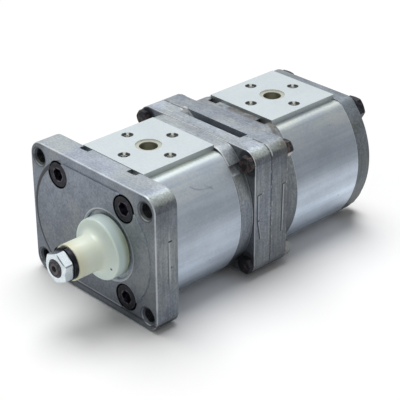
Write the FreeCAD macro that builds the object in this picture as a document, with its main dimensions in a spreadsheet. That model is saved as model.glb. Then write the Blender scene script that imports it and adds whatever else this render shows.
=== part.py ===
import FreeCAD, Part
import math
import os
import Sketcher

# Tandem gear pump: two external gear pumps in line on one axis.
# Frame: millimetres, X to the right seen from the shaft end, Z up, Y along the
# pump to the rear, so the shaft points to -Y. The origin is the centre of the
# four mounting holes, where the flange's back face meets the front body.

Vector = FreeCAD.Vector
AXIS_X = Vector(1, 0, 0)
AXIS_Y = Vector(0, 1, 0)
AXIS_Z = Vector(0, 0, 1)
TO_REAR = FreeCAD.Rotation(AXIS_X, -90)

# An edge within this distance of a place lies at it
NEAR = 0.01
# Reach of the first guess of an outline, before its constraints move it
FIRST_REACH = 10.0
# Round face of a hexagon head or nut, as a share of its width across flats
HEX_FACE = 0.94
# Slope of the turned corners of a hexagon, at 30 degrees to its face
HEX_SLOPE = math.sqrt(3)
# Depth of a tooth space below the pitch circle, in modules
ROOT_DEPTH = 1.25
# Spans between the points of one tooth flank
FLANK_SPANS = 4

doc = FreeCAD.newDocument("TandemGearPump")

# Driving sizes in millimetres, angles in degrees, one spreadsheet cell each
SIZES = {
    # Front flange cover
    "mount_pitch_x": 100.0,
    "mount_pitch_z": 72.0,
    "mount_hole": 9.0,
    "mount_chamfer": 1.75,
    "flange_margin_x": 8.5,
    "flange_margin_z": 10.0,
    "flange_thickness": 18.3,
    "flange_corner": 10.0,
    "flange_round": 1.2,
    "land_margin_x": 5.1,
    "land_margin_z": 6.4,
    "land_flat": 50.8,
    "land_step": 0.8,
    "recess_diameter": 45.0,
    "recess_depth": 1.6,
    "recess_chamfer": 0.8,
    # Pry notches in the rear top edge of a cover
    "notch_margin": 2.1,
    "notch_width": 7.9,
    "notch_length": 4.8,
    "notch_depth": 3.0,
    # Extruded bodies
    "centre_distance": 31.0,
    "body_flat": 68.3,
    "body_corner": 8.0,
    "pad_width": 56.6,
    "pad_step": 3.8,
    "pad_drop": 0.2,
    "front_body_length": 58.1,
    "rear_body_length": 59.3,
    # Middle and rear covers
    "cover_step": 2.0,
    "cover_corner": 11.0,
    "plate_step_x": 0.9,
    "plate_step_z": 0.2,
    "plate_corner": 9.0,
    "plate_thickness": 14.6,
    "barrel_length": 11.1,
    "rear_cover_thickness": 12.4,
    "rear_cover_step": 0.5,
    "rear_cover_round": 1.5,
    # Leak window over the coupling
    "window_left": 26.0,
    "window_right": 30.0,
    "window_front": 4.7,
    "window_rear": 2.1,
    "window_slope": 13.0,
    "window_floor": 12.0,
    # Long screws of each pump
    "screw_pitch_z": 61.0,
    "screw_diameter": 10.0,
    "screw_gap": 0.25,
    "thread_gap": 0.02,
    "front_engagement": 13.2,
    "rear_engagement": 16.7,
    "screw_hole_spare": 3.0,
    "counterbore": 18.0,
    "counterbore_depth": 9.6,
    "socket_head": 16.0,
    "socket_head_height": 10.0,
    "socket_size": 8.0,
    "socket_depth": 5.0,
    "hex_size": 16.0,
    "hex_height": 6.4,
    "washer_outer": 20.0,
    "washer_thickness": 1.6,
    # Bolts that join the two pumps
    "join_margin_x": 5.5,
    "join_margin_z": 8.2,
    "join_diameter": 6.0,
    "join_gap": 0.3,
    "join_hex": 10.0,
    "join_head": 4.0,
    "join_nut": 5.5,
    "join_recess": 0.7,
    "scallop_radius": 7.5,
    "scallop_wall": 4.5,
    # Bearings and dowels
    "journal_diameter": 18.0,
    "journal_gap": 0.05,
    "journal_end_gap": 0.4,
    "sleeve_wall": 1.5,
    "chamber_gap": 0.05,
    "side_gap": 0.1,
    "end_gap": 0.05,
    "dowel_diameter": 6.0,
    "dowel_length": 10.0,
    "dowel_margin": 7.6,
    # Seals
    "seal_outer": 32.0,
    "seal_width": 7.0,
    "seal_room": 0.3,
    "shaft_room": 1.0,
    "clip_bite": 0.85,
    "clip_width": 2.75,
    "clip_thickness": 1.2,
    "clip_inset": 0.8,
    "clip_opening": 3.6,
    "clip_eye": 5.6,
    "clip_eye_hole": 2.0,
    "ring_wall": 2.07,
    "ring_groove_width": 2.4,
    "ring_groove_depth": 1.7,
    "pressure_seal_wall": 1.35,
    "pressure_seal_width": 2.0,
    "pressure_seal_depth": 1.5,
    # Gears
    "front_gear_width": 22.0,
    "rear_gear_width": 23.2,
    "tooth_count": 12.0,
    "pressure_angle": 25.0,
    "tooth_backlash": 0.08,
    # Drive end of the shaft
    "taper_start": 8.5,
    "taper_length": 18.0,
    "taper_shoulder": 0.5,
    "taper_ratio": 5.0,
    "shaft_thread": 12.0,
    "thread_stub": 1.0,
    "thread_chamfer": 1.0,
    "centre_hole": 4.0,
    "key_width": 3.0,
    "key_radius": 6.5,
    "key_height": 5.0,
    "key_gap": 0.05,
    # Shipping cap, lock washer and nut
    "cap_side_gap": 2.5,
    "cap_hub": 23.2,
    "cap_back": 0.6,
    "cap_front": 9.6,
    "cap_end_wall": 5.0,
    "cap_clearance": 0.3,
    "cap_wall": 3.0,
    "cap_flat": 1.55,
    "cap_round": 1.2,
    "lock_outer": 21.0,
    "lock_thickness": 2.8,
    "lock_split": 1.2,
    "nut_size": 18.0,
    "nut_height": 7.0,
    "nut_turn": 24.0,
    # Coupling between the two pumps
    "coupling_diameter": 30.0,
    "coupling_length": 15.0,
    "coupling_room": 0.2,
    "chamber_room": 4.0,
    "tang_width": 8.0,
    "tang_gap": 0.1,
    "tang_length": 5.3,
    # Port pads
    "port_circle": 40.0,
    "port_screw": 5.0,
    "port_screw_depth": 13.0,
    "port_screw_chamfer": 1.2,
    "pressure_port": 12.0,
    "pressure_port_depth": 26.0,
    "pressure_gallery": 9.0,
    "pressure_seat": 17.0,
    "pressure_seat_depth": 0.8,
    "suction_port": 20.0,
    "suction_port_depth": 24.0,
    "suction_gallery": 16.0,
    "suction_chamfer": 0.6,
}

sheet = doc.addObject("Spreadsheet::Sheet", "Dims")
for row, (alias, value) in enumerate(SIZES.items(), 1):
    sheet.set("A%d" % row, alias)
    sheet.set("B%d" % row, str(value))
    sheet.setAlias("B%d" % row, alias)
doc.recompute()

gauge = doc.addObject("App::FeaturePython", "Gauge")
gauge.addProperty("App::PropertyFloat", "Reading")


def number(expression):
    """Value of an expression on the sheet, for first guesses and for shapes made in code."""
    gauge.setExpression("Reading", expression)
    gauge.recompute()
    return gauge.Reading


def bulge_radius(width, height, flat):
    """Radius of side arcs that leave a flat of the given length at top and bottom."""
    bulge = "((%s - %s) / 2)" % (width, flat)
    return "((%s ^ 2 + (%s / 2) ^ 2) / (2 * %s))" % (bulge, height, bulge)


# Across the pump, as expressions on the sheet: the mounting pitch sets the
# heights, the gears and the joining bolts beside the long screws set the widths
SHAFT_X = "Dims.centre_distance / 2"
FLANGE_WIDTH = "(Dims.mount_pitch_x + 2 * Dims.flange_margin_x)"
FLANGE_HEIGHT = "(Dims.mount_pitch_z + 2 * Dims.flange_margin_z)"
LAND_WIDTH = "(%s - 2 * Dims.land_margin_x)" % FLANGE_WIDTH
LAND_HEIGHT = "(%s - 2 * Dims.land_margin_z)" % FLANGE_HEIGHT
PAD_HEIGHT = "(%s - 2 * Dims.pad_drop)" % FLANGE_HEIGHT
BODY_HEIGHT = "(%s - 2 * Dims.pad_step)" % PAD_HEIGHT
COVER_HEIGHT = "(%s + 2 * Dims.cover_step)" % BODY_HEIGHT
PLATE_HEIGHT = "(%s + 2 * Dims.plate_step_z)" % COVER_HEIGHT
REAR_COVER_HEIGHT = "(%s + 2 * Dims.rear_cover_step)" % BODY_HEIGHT
SCREW_X = "Dims.centre_distance"
SCREW_Z = "Dims.screw_pitch_z / 2"
JOIN_X = "(%s + Dims.screw_diameter / 2 + Dims.scallop_wall + Dims.scallop_radius)" % SCREW_X
JOIN_Z = "(%s / 2 - Dims.join_margin_z)" % PLATE_HEIGHT
PLATE_WIDTH = "(2 * %s + 2 * Dims.join_margin_x)" % JOIN_X
BODY_WIDTH = "(%s - 2 * Dims.plate_step_x)" % PLATE_WIDTH
DOWEL_X = "(%s / 2 - Dims.dowel_margin)" % BODY_WIDTH
NOTCH_OUTER = "(Dims.pad_width / 2 - Dims.notch_margin)"
LAND_RADIUS = bulge_radius(LAND_WIDTH, LAND_HEIGHT, "Dims.land_flat")
SIDE_RADIUS = bulge_radius(BODY_WIDTH, BODY_HEIGHT, "Dims.body_flat")
JOURNAL = "Dims.journal_diameter / 2"
BLOCK_BORE = "(%s + Dims.journal_gap + Dims.sleeve_wall)" % JOURNAL
TIP_RADIUS = "(Dims.centre_distance / 2 + Dims.centre_distance / Dims.tooth_count)"
CHAMBER = "(%s + Dims.chamber_gap)" % TIP_RADIUS
RING_PATH = "(%s + Dims.ring_wall + Dims.ring_groove_width / 2)" % CHAMBER
RING_WIDTH = "(Dims.ring_groove_width - 2 * Dims.side_gap)"
PRESSURE_SEAL = "(%s + Dims.pressure_seal_wall + Dims.pressure_seal_width / 2)" % BLOCK_BORE
TAPER_DIAMETER = "(Dims.journal_diameter - 2 * Dims.taper_shoulder)"
TAPER_SMALL = "(%s / 2 - Dims.taper_length / Dims.taper_ratio / 2)" % TAPER_DIAMETER
CAP_DIAMETER = "(Dims.recess_diameter - 2 * Dims.cap_side_gap)"

# Along the pump: places, depths and lengths
FACE = "(-Dims.flange_thickness)"
FRONT_BODY = "0"
END_COVER = "Dims.front_body_length"
COVER_LENGTH = "(Dims.barrel_length + Dims.plate_thickness)"
SEAM = "(%s + %s)" % (END_COVER, COVER_LENGTH)
REAR_BODY = "(%s + %s)" % (SEAM, COVER_LENGTH)
REAR_COVER = "(%s + Dims.rear_body_length)" % REAR_BODY
REAR_FACE = "(%s + Dims.rear_cover_thickness)" % REAR_COVER
CHAMBER_DEPTH = "(Dims.coupling_length / 2 + Dims.coupling_room)"
DOWEL_DEPTH = "(Dims.dowel_length / 2 + Dims.end_gap)"
TAPER_START = "(%s - Dims.taper_start)" % FACE
TAPER_END = "(%s - Dims.taper_length)" % TAPER_START
CAP_STEP = "(%s - Dims.cap_front)" % FACE
CAP_END = "(%s - Dims.cap_end_wall)" % TAPER_END
NUT_SEAT = "(%s - Dims.lock_thickness)" % CAP_END
NUT_END = "(%s - Dims.nut_height)" % NUT_SEAT
SHAFT_END = "(%s - Dims.thread_stub)" % NUT_END
CLIP_GROOVE = "(Dims.recess_depth + Dims.clip_inset)"
FRONT_SCREW_LENGTH = ("(Dims.flange_thickness - Dims.counterbore_depth"
                      " + Dims.front_body_length + Dims.front_engagement)")
REAR_SCREW_LENGTH = ("(Dims.washer_thickness + Dims.rear_cover_thickness"
                     " + Dims.rear_body_length + Dims.rear_engagement)")


def block_length(pump):
    """Length of a bearing block: what the gear and the gaps leave of the body."""
    return "((Dims.%s_body_length - Dims.%s_gear_width) / 2 - Dims.side_gap - Dims.end_gap)" % (pump, pump)


def gear_face(pump, start):
    """Place of the gear's front face in a body that starts at the given place."""
    return "(%s + Dims.end_gap + %s + Dims.side_gap)" % (start, block_length(pump))


# Primitive solids with their sizes bound to the sheet

def put(item, x="0", y="0", z="0"):
    for axis, place in (("x", x), ("y", y), ("z", z)):
        if place != "0":
            item.setExpression("Placement.Base." + axis, place)
    return item


def cylinder(name, radius, length, x="0", y="0", z="0"):
    """Cylinder towards the rear from the middle of its front face."""
    item = doc.addObject("Part::Cylinder", name)
    item.setExpression("Radius", radius)
    item.setExpression("Height", length)
    item.Placement = FreeCAD.Placement(Vector(), TO_REAR)
    return put(item, x, y, z)


def cone(name, radius, end_radius, length, x="0", y="0", z="0"):
    item = doc.addObject("Part::Cone", name)
    item.setExpression("Radius1", radius)
    item.setExpression("Radius2", end_radius)
    item.setExpression("Height", length)
    item.Placement = FreeCAD.Placement(Vector(), TO_REAR)
    return put(item, x, y, z)


def box(name, width, length, height, x="0", y="0", z="0"):
    """Box by its X, Y and Z sizes, from the corner at x, y, z."""
    item = doc.addObject("Part::Box", name)
    item.setExpression("Length", width)
    item.setExpression("Width", length)
    item.setExpression("Height", height)
    return put(item, x, y, z)


def hexagon(name, across_flats, length, x="0", y="0", z="0"):
    item = doc.addObject("Part::Prism", name)
    item.Polygon = 6
    item.setExpression("Circumradius", "%s / sqrt(3)" % across_flats)
    item.setExpression("Height", length)
    item.Placement = FreeCAD.Placement(Vector(), TO_REAR)
    return put(item, x, y, z)


def cut(name, base, tool):
    item = doc.addObject("Part::Cut", name)
    item.Base = base
    item.Tool = tool
    return item


def fuse(name, parts):
    item = doc.addObject("Part::MultiFuse", name)
    item.Shapes = parts
    return item


def common(name, parts):
    item = doc.addObject("Part::MultiCommon", name)
    item.Shapes = parts
    return item


def group(name, parts):
    """Separate solids kept in one node."""
    item = doc.addObject("Part::Compound", name)
    item.Links = parts
    return item


def mirrored(name, source, normal=AXIS_X):
    item = doc.addObject("Part::Mirroring", name)
    item.Source = source
    item.Normal = normal
    return item


def corners(name, item):
    """The piece in all four corners of its pattern."""
    left = mirrored(name + "_left", item)
    low = mirrored(name + "_low", item, AXIS_Z)
    low_left = mirrored(name + "_low_left", left, AXIS_Z)
    return group(name, [item, left, low, low_left])


# Sketches and features of the bodies

def plane_of(body, role):
    for feature in body.Origin.OriginFeatures:
        if feature.Role == role:
            return feature
    raise ValueError(role)


def sketch_on(body, name, role, offset="0"):
    """Sketch on an origin plane, moved by offset: to the rear from XZ, down from XY."""
    sketch = body.newObject("Sketcher::SketchObject", name)
    sketch.AttachmentSupport = [(plane_of(body, role), "")]
    sketch.MapMode = "FlatFace"
    if offset != "0":
        sketch.setExpression("AttachmentOffset.Base.z", "-(%s)" % offset)
    return sketch


def constrain(sketch, *rule):
    return sketch.addConstraint(Sketcher.Constraint(*rule))


def drive(sketch, expression, *rule):
    """Constraint whose value comes from the sheet."""
    index = constrain(sketch, *rule)
    sketch.setExpression("Constraints[%d]" % index, expression)


def fix_point(sketch, edge, point, across, up):
    """Hold a point at two distances from the origin; "0" puts it on an axis."""
    guess = sketch.getPoint(edge, point)
    if across == "0":
        constrain(sketch, "PointOnObject", edge, point, -2)
    else:
        drive(sketch, across, "DistanceX", -1, 1, edge, point, guess.x)
    if up == "0":
        constrain(sketch, "PointOnObject", edge, point, -1)
    else:
        drive(sketch, up, "DistanceY", -1, 1, edge, point, guess.y)


def draw_polygon(sketch, points):
    """Closed outline through points, each given by two expressions."""
    count = len(points)
    first = sketch.GeometryCount
    guess = []
    for index in range(count):
        turn = 2 * math.pi * index / count
        guess.append(Vector(math.cos(turn), math.sin(turn), 0) * FIRST_REACH)
    for index in range(count):
        sketch.addGeometry(Part.LineSegment(guess[index], guess[(index + 1) % count]), False)
    for index in range(count):
        constrain(sketch, "Coincident", first + index, 2, first + (index + 1) % count, 1)
    for index, (across, up) in enumerate(points):
        fix_point(sketch, first + index, 1, across, up)


def draw_rectangle(sketch, width, height):
    """Rectangle centred on the origin."""
    right = "(%s) / 2" % width
    left = "-(%s) / 2" % width
    top = "(%s) / 2" % height
    bottom = "-(%s) / 2" % height
    draw_polygon(sketch, [(right, bottom), (right, top), (left, top), (left, bottom)])


def draw_circles(sketch, places, radius):
    for across, up in places:
        edge = sketch.addGeometry(Part.Circle(Vector(1, 1, 0), AXIS_Z, 1.0), False)
        fix_point(sketch, edge, 3, across, up)
        drive(sketch, radius, "Radius", edge, 1.0)


def draw_barrel(sketch, width, height, radius):
    """Flat top and bottom with two bulging sides, each one arc."""
    top = number(height) / 2
    arc = number(radius)
    shift = number(width) / 2 - arc
    angle = math.asin(top / arc)
    reach = shift + arc * math.cos(angle)
    sketch.addGeometry([
        Part.ArcOfCircle(Part.Circle(Vector(shift, 0, 0), AXIS_Z, arc), -angle, angle),
        Part.LineSegment(Vector(reach, top, 0), Vector(-reach, top, 0)),
        Part.ArcOfCircle(Part.Circle(Vector(-shift, 0, 0), AXIS_Z, arc), math.pi - angle, math.pi + angle),
        Part.LineSegment(Vector(-reach, -top, 0), Vector(reach, -top, 0)),
    ], False)
    for index in range(4):
        constrain(sketch, "Coincident", index, 2, (index + 1) % 4, 1)
    constrain(sketch, "Horizontal", 1)
    constrain(sketch, "Horizontal", 3)
    drive(sketch, "%s / 2" % height, "DistanceY", -1, 1, 1, 1, top)
    drive(sketch, "-%s / 2" % height, "DistanceY", -1, 1, 3, 1, -top)
    for edge, sign in ((0, 1), (2, -1)):
        constrain(sketch, "PointOnObject", edge, 3, -1)
        drive(sketch, radius, "Radius", edge, arc)
        centre = "%d * (%s / 2 - %s)" % (sign, width, radius)
        drive(sketch, centre, "DistanceX", -1, 1, edge, 3, sign * shift)


def draw_eight(sketch, radius):
    """Two circles round the gear axes, joined where they cross."""
    half = number(SHAFT_X)
    guess = number(radius)
    open_angle = math.pi - math.acos(half / guess)
    first = sketch.GeometryCount
    right = Part.Circle(Vector(half, 0, 0), AXIS_Z, guess)
    left = Part.Circle(Vector(-half, 0, 0), AXIS_Z, guess)
    sketch.addGeometry([
        Part.ArcOfCircle(right, -open_angle, open_angle),
        Part.ArcOfCircle(left, math.pi - open_angle, math.pi + open_angle),
    ], False)
    constrain(sketch, "Coincident", first, 2, first + 1, 1)
    constrain(sketch, "Coincident", first + 1, 2, first, 1)
    for edge, across in ((first, SHAFT_X), (first + 1, "-" + SHAFT_X)):
        fix_point(sketch, edge, 3, across, "0")
        drive(sketch, radius, "Radius", edge, guess)


def draw_track(sketch, radius):
    """Two half circles round the gear axes, joined by straight runs."""
    half = number(SHAFT_X)
    guess = number(radius)
    first = sketch.GeometryCount
    quarter = math.pi / 2
    sketch.addGeometry([
        Part.ArcOfCircle(Part.Circle(Vector(half, 0, 0), AXIS_Z, guess), -quarter, quarter),
        Part.LineSegment(Vector(half, guess, 0), Vector(-half, guess, 0)),
        Part.ArcOfCircle(Part.Circle(Vector(-half, 0, 0), AXIS_Z, guess), quarter, 3 * quarter),
        Part.LineSegment(Vector(-half, -guess, 0), Vector(half, -guess, 0)),
    ], False)
    for index in range(4):
        constrain(sketch, "Tangent", first + index, 2, first + (index + 1) % 4, 1)
    for edge, across in ((first, SHAFT_X), (first + 2, "-" + SHAFT_X)):
        fix_point(sketch, edge, 3, across, "0")
    drive(sketch, radius, "Radius", first, guess)


def draw_ring(sketch, width):
    """Band of the given width round both gear axes."""
    draw_track(sketch, "(%s - %s / 2)" % (RING_PATH, width))
    draw_track(sketch, "(%s + %s / 2)" % (RING_PATH, width))


def pad(body, sketch, length):
    """Material from the sketch towards the rear."""
    feature = body.newObject("PartDesign::Pad", sketch.Name + "_pad")
    feature.Profile = sketch
    feature.setExpression("Length", length)
    feature.Reversed = True
    return feature


def pocket(body, sketch, length=None, upwards=False):
    """Cut to the rear, or down (or up) from a level sketch; right through without a length."""
    feature = body.newObject("PartDesign::Pocket", sketch.Name + "_pocket")
    feature.Profile = sketch
    if length is None:
        feature.Type = "ThroughAll"
    else:
        feature.setExpression("Length", length)
    feature.Reversed = upwards
    return feature


def edge_names(shape, wanted):
    return ["Edge%d" % (index + 1) for index, edge in enumerate(shape.Edges) if wanted(edge)]


def runs_along(edge, axis):
    """True for a straight edge parallel to the axis."""
    if not isinstance(edge.Curve, Part.Line):
        return False
    return edge.tangentAt(edge.FirstParameter).cross(axis).Length < NEAR


def lies_at(edge, axis, place):
    return all(abs(vertex.Point.dot(axis) - place) < NEAR for vertex in edge.Vertexes)


def is_circle(edge, radius):
    return isinstance(edge.Curve, Part.Circle) and abs(edge.Curve.Radius - radius) < NEAR


def round_edges(body, kind, amount, wanted):
    """Fillet or chamfer on the edges of the body that pass the test."""
    doc.recompute()
    base = body.Tip
    feature = body.newObject("PartDesign::" + kind, kind.lower() + "_" + body.Label)
    feature.Base = (base, edge_names(base.Shape, wanted))
    feature.setExpression("Radius" if kind == "Fillet" else "Size", amount)
    return feature


def pattern(across, up):
    """Centres of four holes on a rectangle, from its half pitches."""
    return [(across, up), ("-" + across, up), ("-" + across, "-" + up), (across, "-" + up)]


MOUNTS = pattern("Dims.mount_pitch_x / 2", "Dims.mount_pitch_z / 2")
SCREWS = pattern(SCREW_X, SCREW_Z)
JOINTS = pattern(JOIN_X, JOIN_Z)
DOWELS = [(DOWEL_X, "0"), ("-" + DOWEL_X, "0")]
SHAFT = [(SHAFT_X, "0")]
AXES = [(SHAFT_X, "0"), ("-" + SHAFT_X, "0")]


def round_pocket(body, name, places, radius, start="0", depth=None):
    """Round holes towards the rear that start at a place along the piece."""
    sketch = sketch_on(body, name, "XZ_Plane", start)
    draw_circles(sketch, places, radius)
    return pocket(body, sketch, depth)


def clearance_holes(body, name):
    return round_pocket(body, name, SCREWS, "Dims.screw_diameter / 2 + Dims.screw_gap")


def dowel_holes(body, name, start):
    return round_pocket(body, name, DOWELS, "Dims.dowel_diameter / 2", start, DOWEL_DEPTH)


def pry_notches(body, length, height):
    """Two notches in the rear top edge, in front of the port pad's corners."""
    low = height + " / 2 - Dims.notch_depth"
    high = height + " / 2 + Dims.notch_depth"
    for side, sign in (("right", ""), ("left", "-")):
        sketch = sketch_on(body, "notch_" + side, "XZ_Plane", "%s - Dims.notch_length" % length)
        outer = sign + NOTCH_OUTER
        inner = "%s(%s - Dims.notch_width)" % (sign, NOTCH_OUTER)
        draw_polygon(sketch, [(inner, low), (outer, low), (outer, high), (inner, high)])
        pocket(body, sketch)


def leak_window(body, start, length):
    """Slot in the top that opens the coupling chamber, with a sloping left end."""
    sketch = sketch_on(body, "window", "XZ_Plane", start)
    draw_polygon(sketch, [
        ("Dims.window_slope - Dims.window_left", "Dims.window_floor"),
        ("Dims.window_right", "Dims.window_floor"),
        ("Dims.window_right", PLATE_HEIGHT),
        ("-Dims.window_left", PLATE_HEIGHT),
        ("-Dims.window_left", PLATE_HEIGHT + " / 2"),
    ])
    return pocket(body, sketch, length)


# Front flange cover

def front_flange_cover():
    """Flange with mounting holes, the screws' counterbores and the seal's seat."""
    body = doc.addObject("PartDesign::Body", "front_flange_cover")
    outline = sketch_on(body, "flange_outline", "XZ_Plane")
    draw_rectangle(outline, FLANGE_WIDTH, FLANGE_HEIGHT)
    pad(body, outline, "Dims.flange_thickness")
    round_edges(body, "Fillet", "Dims.flange_corner", lambda edge: runs_along(edge, AXIS_Y))
    rear = number("Dims.flange_thickness")
    round_edges(body, "Fillet", "Dims.flange_round",
                lambda edge: lies_at(edge, AXIS_Y, 0) or lies_at(edge, AXIS_Y, rear))
    round_pocket(body, "mount_holes", MOUNTS, "Dims.mount_hole / 2")
    hole = number("Dims.mount_hole / 2")
    round_edges(body, "Chamfer", "Dims.mount_chamfer",
                lambda edge: lies_at(edge, AXIS_Y, 0) and is_circle(edge, hole))
    land = sketch_on(body, "land_outline", "XZ_Plane", "-Dims.land_step")
    draw_barrel(land, LAND_WIDTH, LAND_HEIGHT, LAND_RADIUS)
    pad(body, land, "Dims.land_step + Dims.end_gap")
    round_pocket(body, "recess", SHAFT, "Dims.recess_diameter / 2", "-Dims.land_step",
                 "Dims.recess_depth + Dims.land_step")
    front = -number("Dims.land_step")
    rim = number("Dims.recess_diameter / 2")
    round_edges(body, "Chamfer", "Dims.recess_chamfer",
                lambda edge: lies_at(edge, AXIS_Y, front) and is_circle(edge, rim))
    clearance_holes(body, "flange_screw_holes")
    round_pocket(body, "counterbores", SCREWS, "Dims.counterbore / 2", "-Dims.land_step",
                 "Dims.counterbore_depth + Dims.land_step")
    round_pocket(body, "flange_shaft_bore", SHAFT, JOURNAL + " + Dims.shaft_room")
    seal_depth = "Dims.clip_inset + Dims.clip_thickness + Dims.seal_width + Dims.seal_room"
    round_pocket(body, "flange_seal_bore", SHAFT, "Dims.seal_outer / 2", "Dims.recess_depth", seal_depth)
    round_pocket(body, "flange_clip_groove", SHAFT, "Dims.seal_outer / 2 + Dims.clip_bite",
                 CLIP_GROOVE, "Dims.clip_thickness + Dims.side_gap")
    dowel_holes(body, "flange_dowel_holes", "Dims.flange_thickness - " + DOWEL_DEPTH)
    pry_notches(body, "Dims.flange_thickness", FLANGE_HEIGHT)
    return put(body, y=FACE)


# Extruded pump bodies

def pump_body(pump, place):
    """Body with port pads, gear chamber, ports and screw holes."""
    length = "Dims.%s_body_length" % pump
    body = doc.addObject("PartDesign::Body", pump + "_body")
    outline = sketch_on(body, pump + "_body_outline", "XZ_Plane")
    draw_barrel(outline, BODY_WIDTH, BODY_HEIGHT, SIDE_RADIUS)
    pad(body, outline, length)
    round_edges(body, "Fillet", "Dims.body_corner", lambda edge: runs_along(edge, AXIS_Y))
    pads = sketch_on(body, pump + "_port_pads", "XZ_Plane")
    draw_rectangle(pads, "Dims.pad_width", PAD_HEIGHT)
    pad(body, pads, length)
    chamber = sketch_on(body, pump + "_chamber", "XZ_Plane")
    draw_eight(chamber, CHAMBER)
    pocket(body, chamber)
    clearance_holes(body, pump + "_screw_holes")
    for end, start in (("fore", "0"), ("aft", length + " - Dims.ring_groove_depth")):
        groove = sketch_on(body, "%s_ring_groove_%s" % (pump, end), "XZ_Plane", start)
        draw_ring(groove, "Dims.ring_groove_width")
        pocket(body, groove, "Dims.ring_groove_depth")
    dowel_holes(body, pump + "_dowels_fore", "0")
    dowel_holes(body, pump + "_dowels_aft", "%s - %s" % (length, DOWEL_DEPTH))
    middle = length + " / 2"
    half_circle = "Dims.port_circle / 2"
    screws = [
        ("0", "%s + %s" % (middle, half_circle)),
        ("0", "%s - %s" % (middle, half_circle)),
        (half_circle, middle),
        ("-" + half_circle, middle),
    ]
    top = PAD_HEIGHT + " / 2"
    for use, face, upwards in (("pressure", "-" + top, False), ("suction", top, True)):
        hole = sketch_on(body, "%s_%s_screws" % (pump, use), "XY_Plane", face)
        draw_circles(hole, screws, "Dims.port_screw / 2")
        pocket(body, hole, "Dims.port_screw_depth", upwards)
        port = sketch_on(body, "%s_%s_port" % (pump, use), "XY_Plane", face)
        draw_circles(port, [("0", middle)], "Dims.%s_port / 2" % use)
        pocket(body, port, "Dims.%s_port_depth" % use, upwards)
        gallery = sketch_on(body, "%s_%s_gallery" % (pump, use), "XY_Plane", face)
        draw_circles(gallery, [("0", middle)], "Dims.%s_gallery / 2" % use)
        pocket(body, gallery, top, upwards)
    seat = sketch_on(body, pump + "_pressure_seat", "XY_Plane", "-" + top)
    draw_circles(seat, [("0", middle)], "Dims.pressure_seat / 2")
    pocket(body, seat, "Dims.pressure_seat_depth")
    level = number(top)
    thread = number("Dims.port_screw / 2")
    round_edges(body, "Chamfer", "Dims.port_screw_chamfer",
                lambda edge: is_circle(edge, thread)
                and (lies_at(edge, AXIS_Z, level) or lies_at(edge, AXIS_Z, -level)))
    suction = number("Dims.suction_port / 2")
    round_edges(body, "Chamfer", "Dims.suction_chamfer",
                lambda edge: is_circle(edge, suction) and lies_at(edge, AXIS_Z, -level))
    return put(body, y=place)


# Covers in the middle, one on each side of the seam

def middle_cover(name, place, flip):
    """Barrel that closes a pump and plate that joins it to the other; flip puts the plate first."""
    body = doc.addObject("PartDesign::Body", name)
    barrel_start = "0"
    plate_start = "Dims.barrel_length"
    if flip:
        barrel_start = "Dims.plate_thickness"
        plate_start = "0"
    plate = sketch_on(body, name + "_plate", "XZ_Plane", plate_start)
    draw_rectangle(plate, PLATE_WIDTH, PLATE_HEIGHT)
    pad(body, plate, "Dims.plate_thickness")
    round_edges(body, "Fillet", "Dims.plate_corner", lambda edge: runs_along(edge, AXIS_Y))
    barrel = sketch_on(body, name + "_barrel", "XZ_Plane", barrel_start)
    draw_barrel(barrel, BODY_WIDTH, COVER_HEIGHT, SIDE_RADIUS)
    pad(body, barrel, "Dims.barrel_length")
    reach = number(COVER_HEIGHT) / 2
    round_edges(body, "Fillet", "Dims.cover_corner",
                lambda edge: runs_along(edge, AXIS_Y)
                and (lies_at(edge, AXIS_Z, reach) or lies_at(edge, AXIS_Z, -reach)))
    round_pocket(body, name + "_scallops", JOINTS, "Dims.scallop_radius", barrel_start, "Dims.barrel_length")
    round_pocket(body, name + "_join_holes", JOINTS, "Dims.join_diameter / 2 + Dims.join_gap")
    round_pocket(body, name + "_shaft_bore", SHAFT, JOURNAL + " + Dims.shaft_room")
    seal = "(Dims.seal_width + Dims.seal_room)"
    tapped = "Dims.screw_diameter / 2 + Dims.thread_gap"
    if flip:
        seat_start = CHAMBER_DEPTH
        chamber_start = "0"
        screw_depth = "(Dims.rear_engagement + Dims.screw_hole_spare)"
        screw_start = "%s - %s" % (COVER_LENGTH, screw_depth)
        dowel_start = "%s - %s" % (COVER_LENGTH, DOWEL_DEPTH)
        leak_window(body, "0", "Dims.window_rear")
        pry_notches(body, COVER_LENGTH, PLATE_HEIGHT)
    else:
        seat_start = "%s - %s - %s" % (COVER_LENGTH, CHAMBER_DEPTH, seal)
        chamber_start = "%s - %s" % (COVER_LENGTH, CHAMBER_DEPTH)
        screw_depth = "(Dims.front_engagement + Dims.screw_hole_spare)"
        screw_start = "0"
        dowel_start = "0"
        leak_window(body, "%s - Dims.window_front" % COVER_LENGTH, "Dims.window_front")
    chamber = "Dims.coupling_diameter / 2 + Dims.chamber_room"
    round_pocket(body, name + "_chamber", SHAFT, chamber, chamber_start, CHAMBER_DEPTH)
    round_pocket(body, name + "_seal_seat", SHAFT, "Dims.seal_outer / 2", seat_start, seal)
    round_pocket(body, name + "_screw_holes", SCREWS, tapped, screw_start, screw_depth)
    dowel_holes(body, name + "_dowels", dowel_start)
    return put(body, y=place)


# Rear cover

def rear_end_cover():
    body = doc.addObject("PartDesign::Body", "rear_end_cover")
    outline = sketch_on(body, "rear_cover_outline", "XZ_Plane")
    draw_barrel(outline, BODY_WIDTH, REAR_COVER_HEIGHT, SIDE_RADIUS)
    pad(body, outline, "Dims.rear_cover_thickness")
    round_edges(body, "Fillet", "Dims.body_corner", lambda edge: runs_along(edge, AXIS_Y))
    rear = number("Dims.rear_cover_thickness")
    round_edges(body, "Fillet", "Dims.rear_cover_round", lambda edge: lies_at(edge, AXIS_Y, rear))
    clearance_holes(body, "rear_cover_holes")
    dowel_holes(body, "rear_cover_dowels", "0")
    return put(body, y=REAR_COVER)


# Bearing blocks, sleeves and pressure seals

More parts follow.
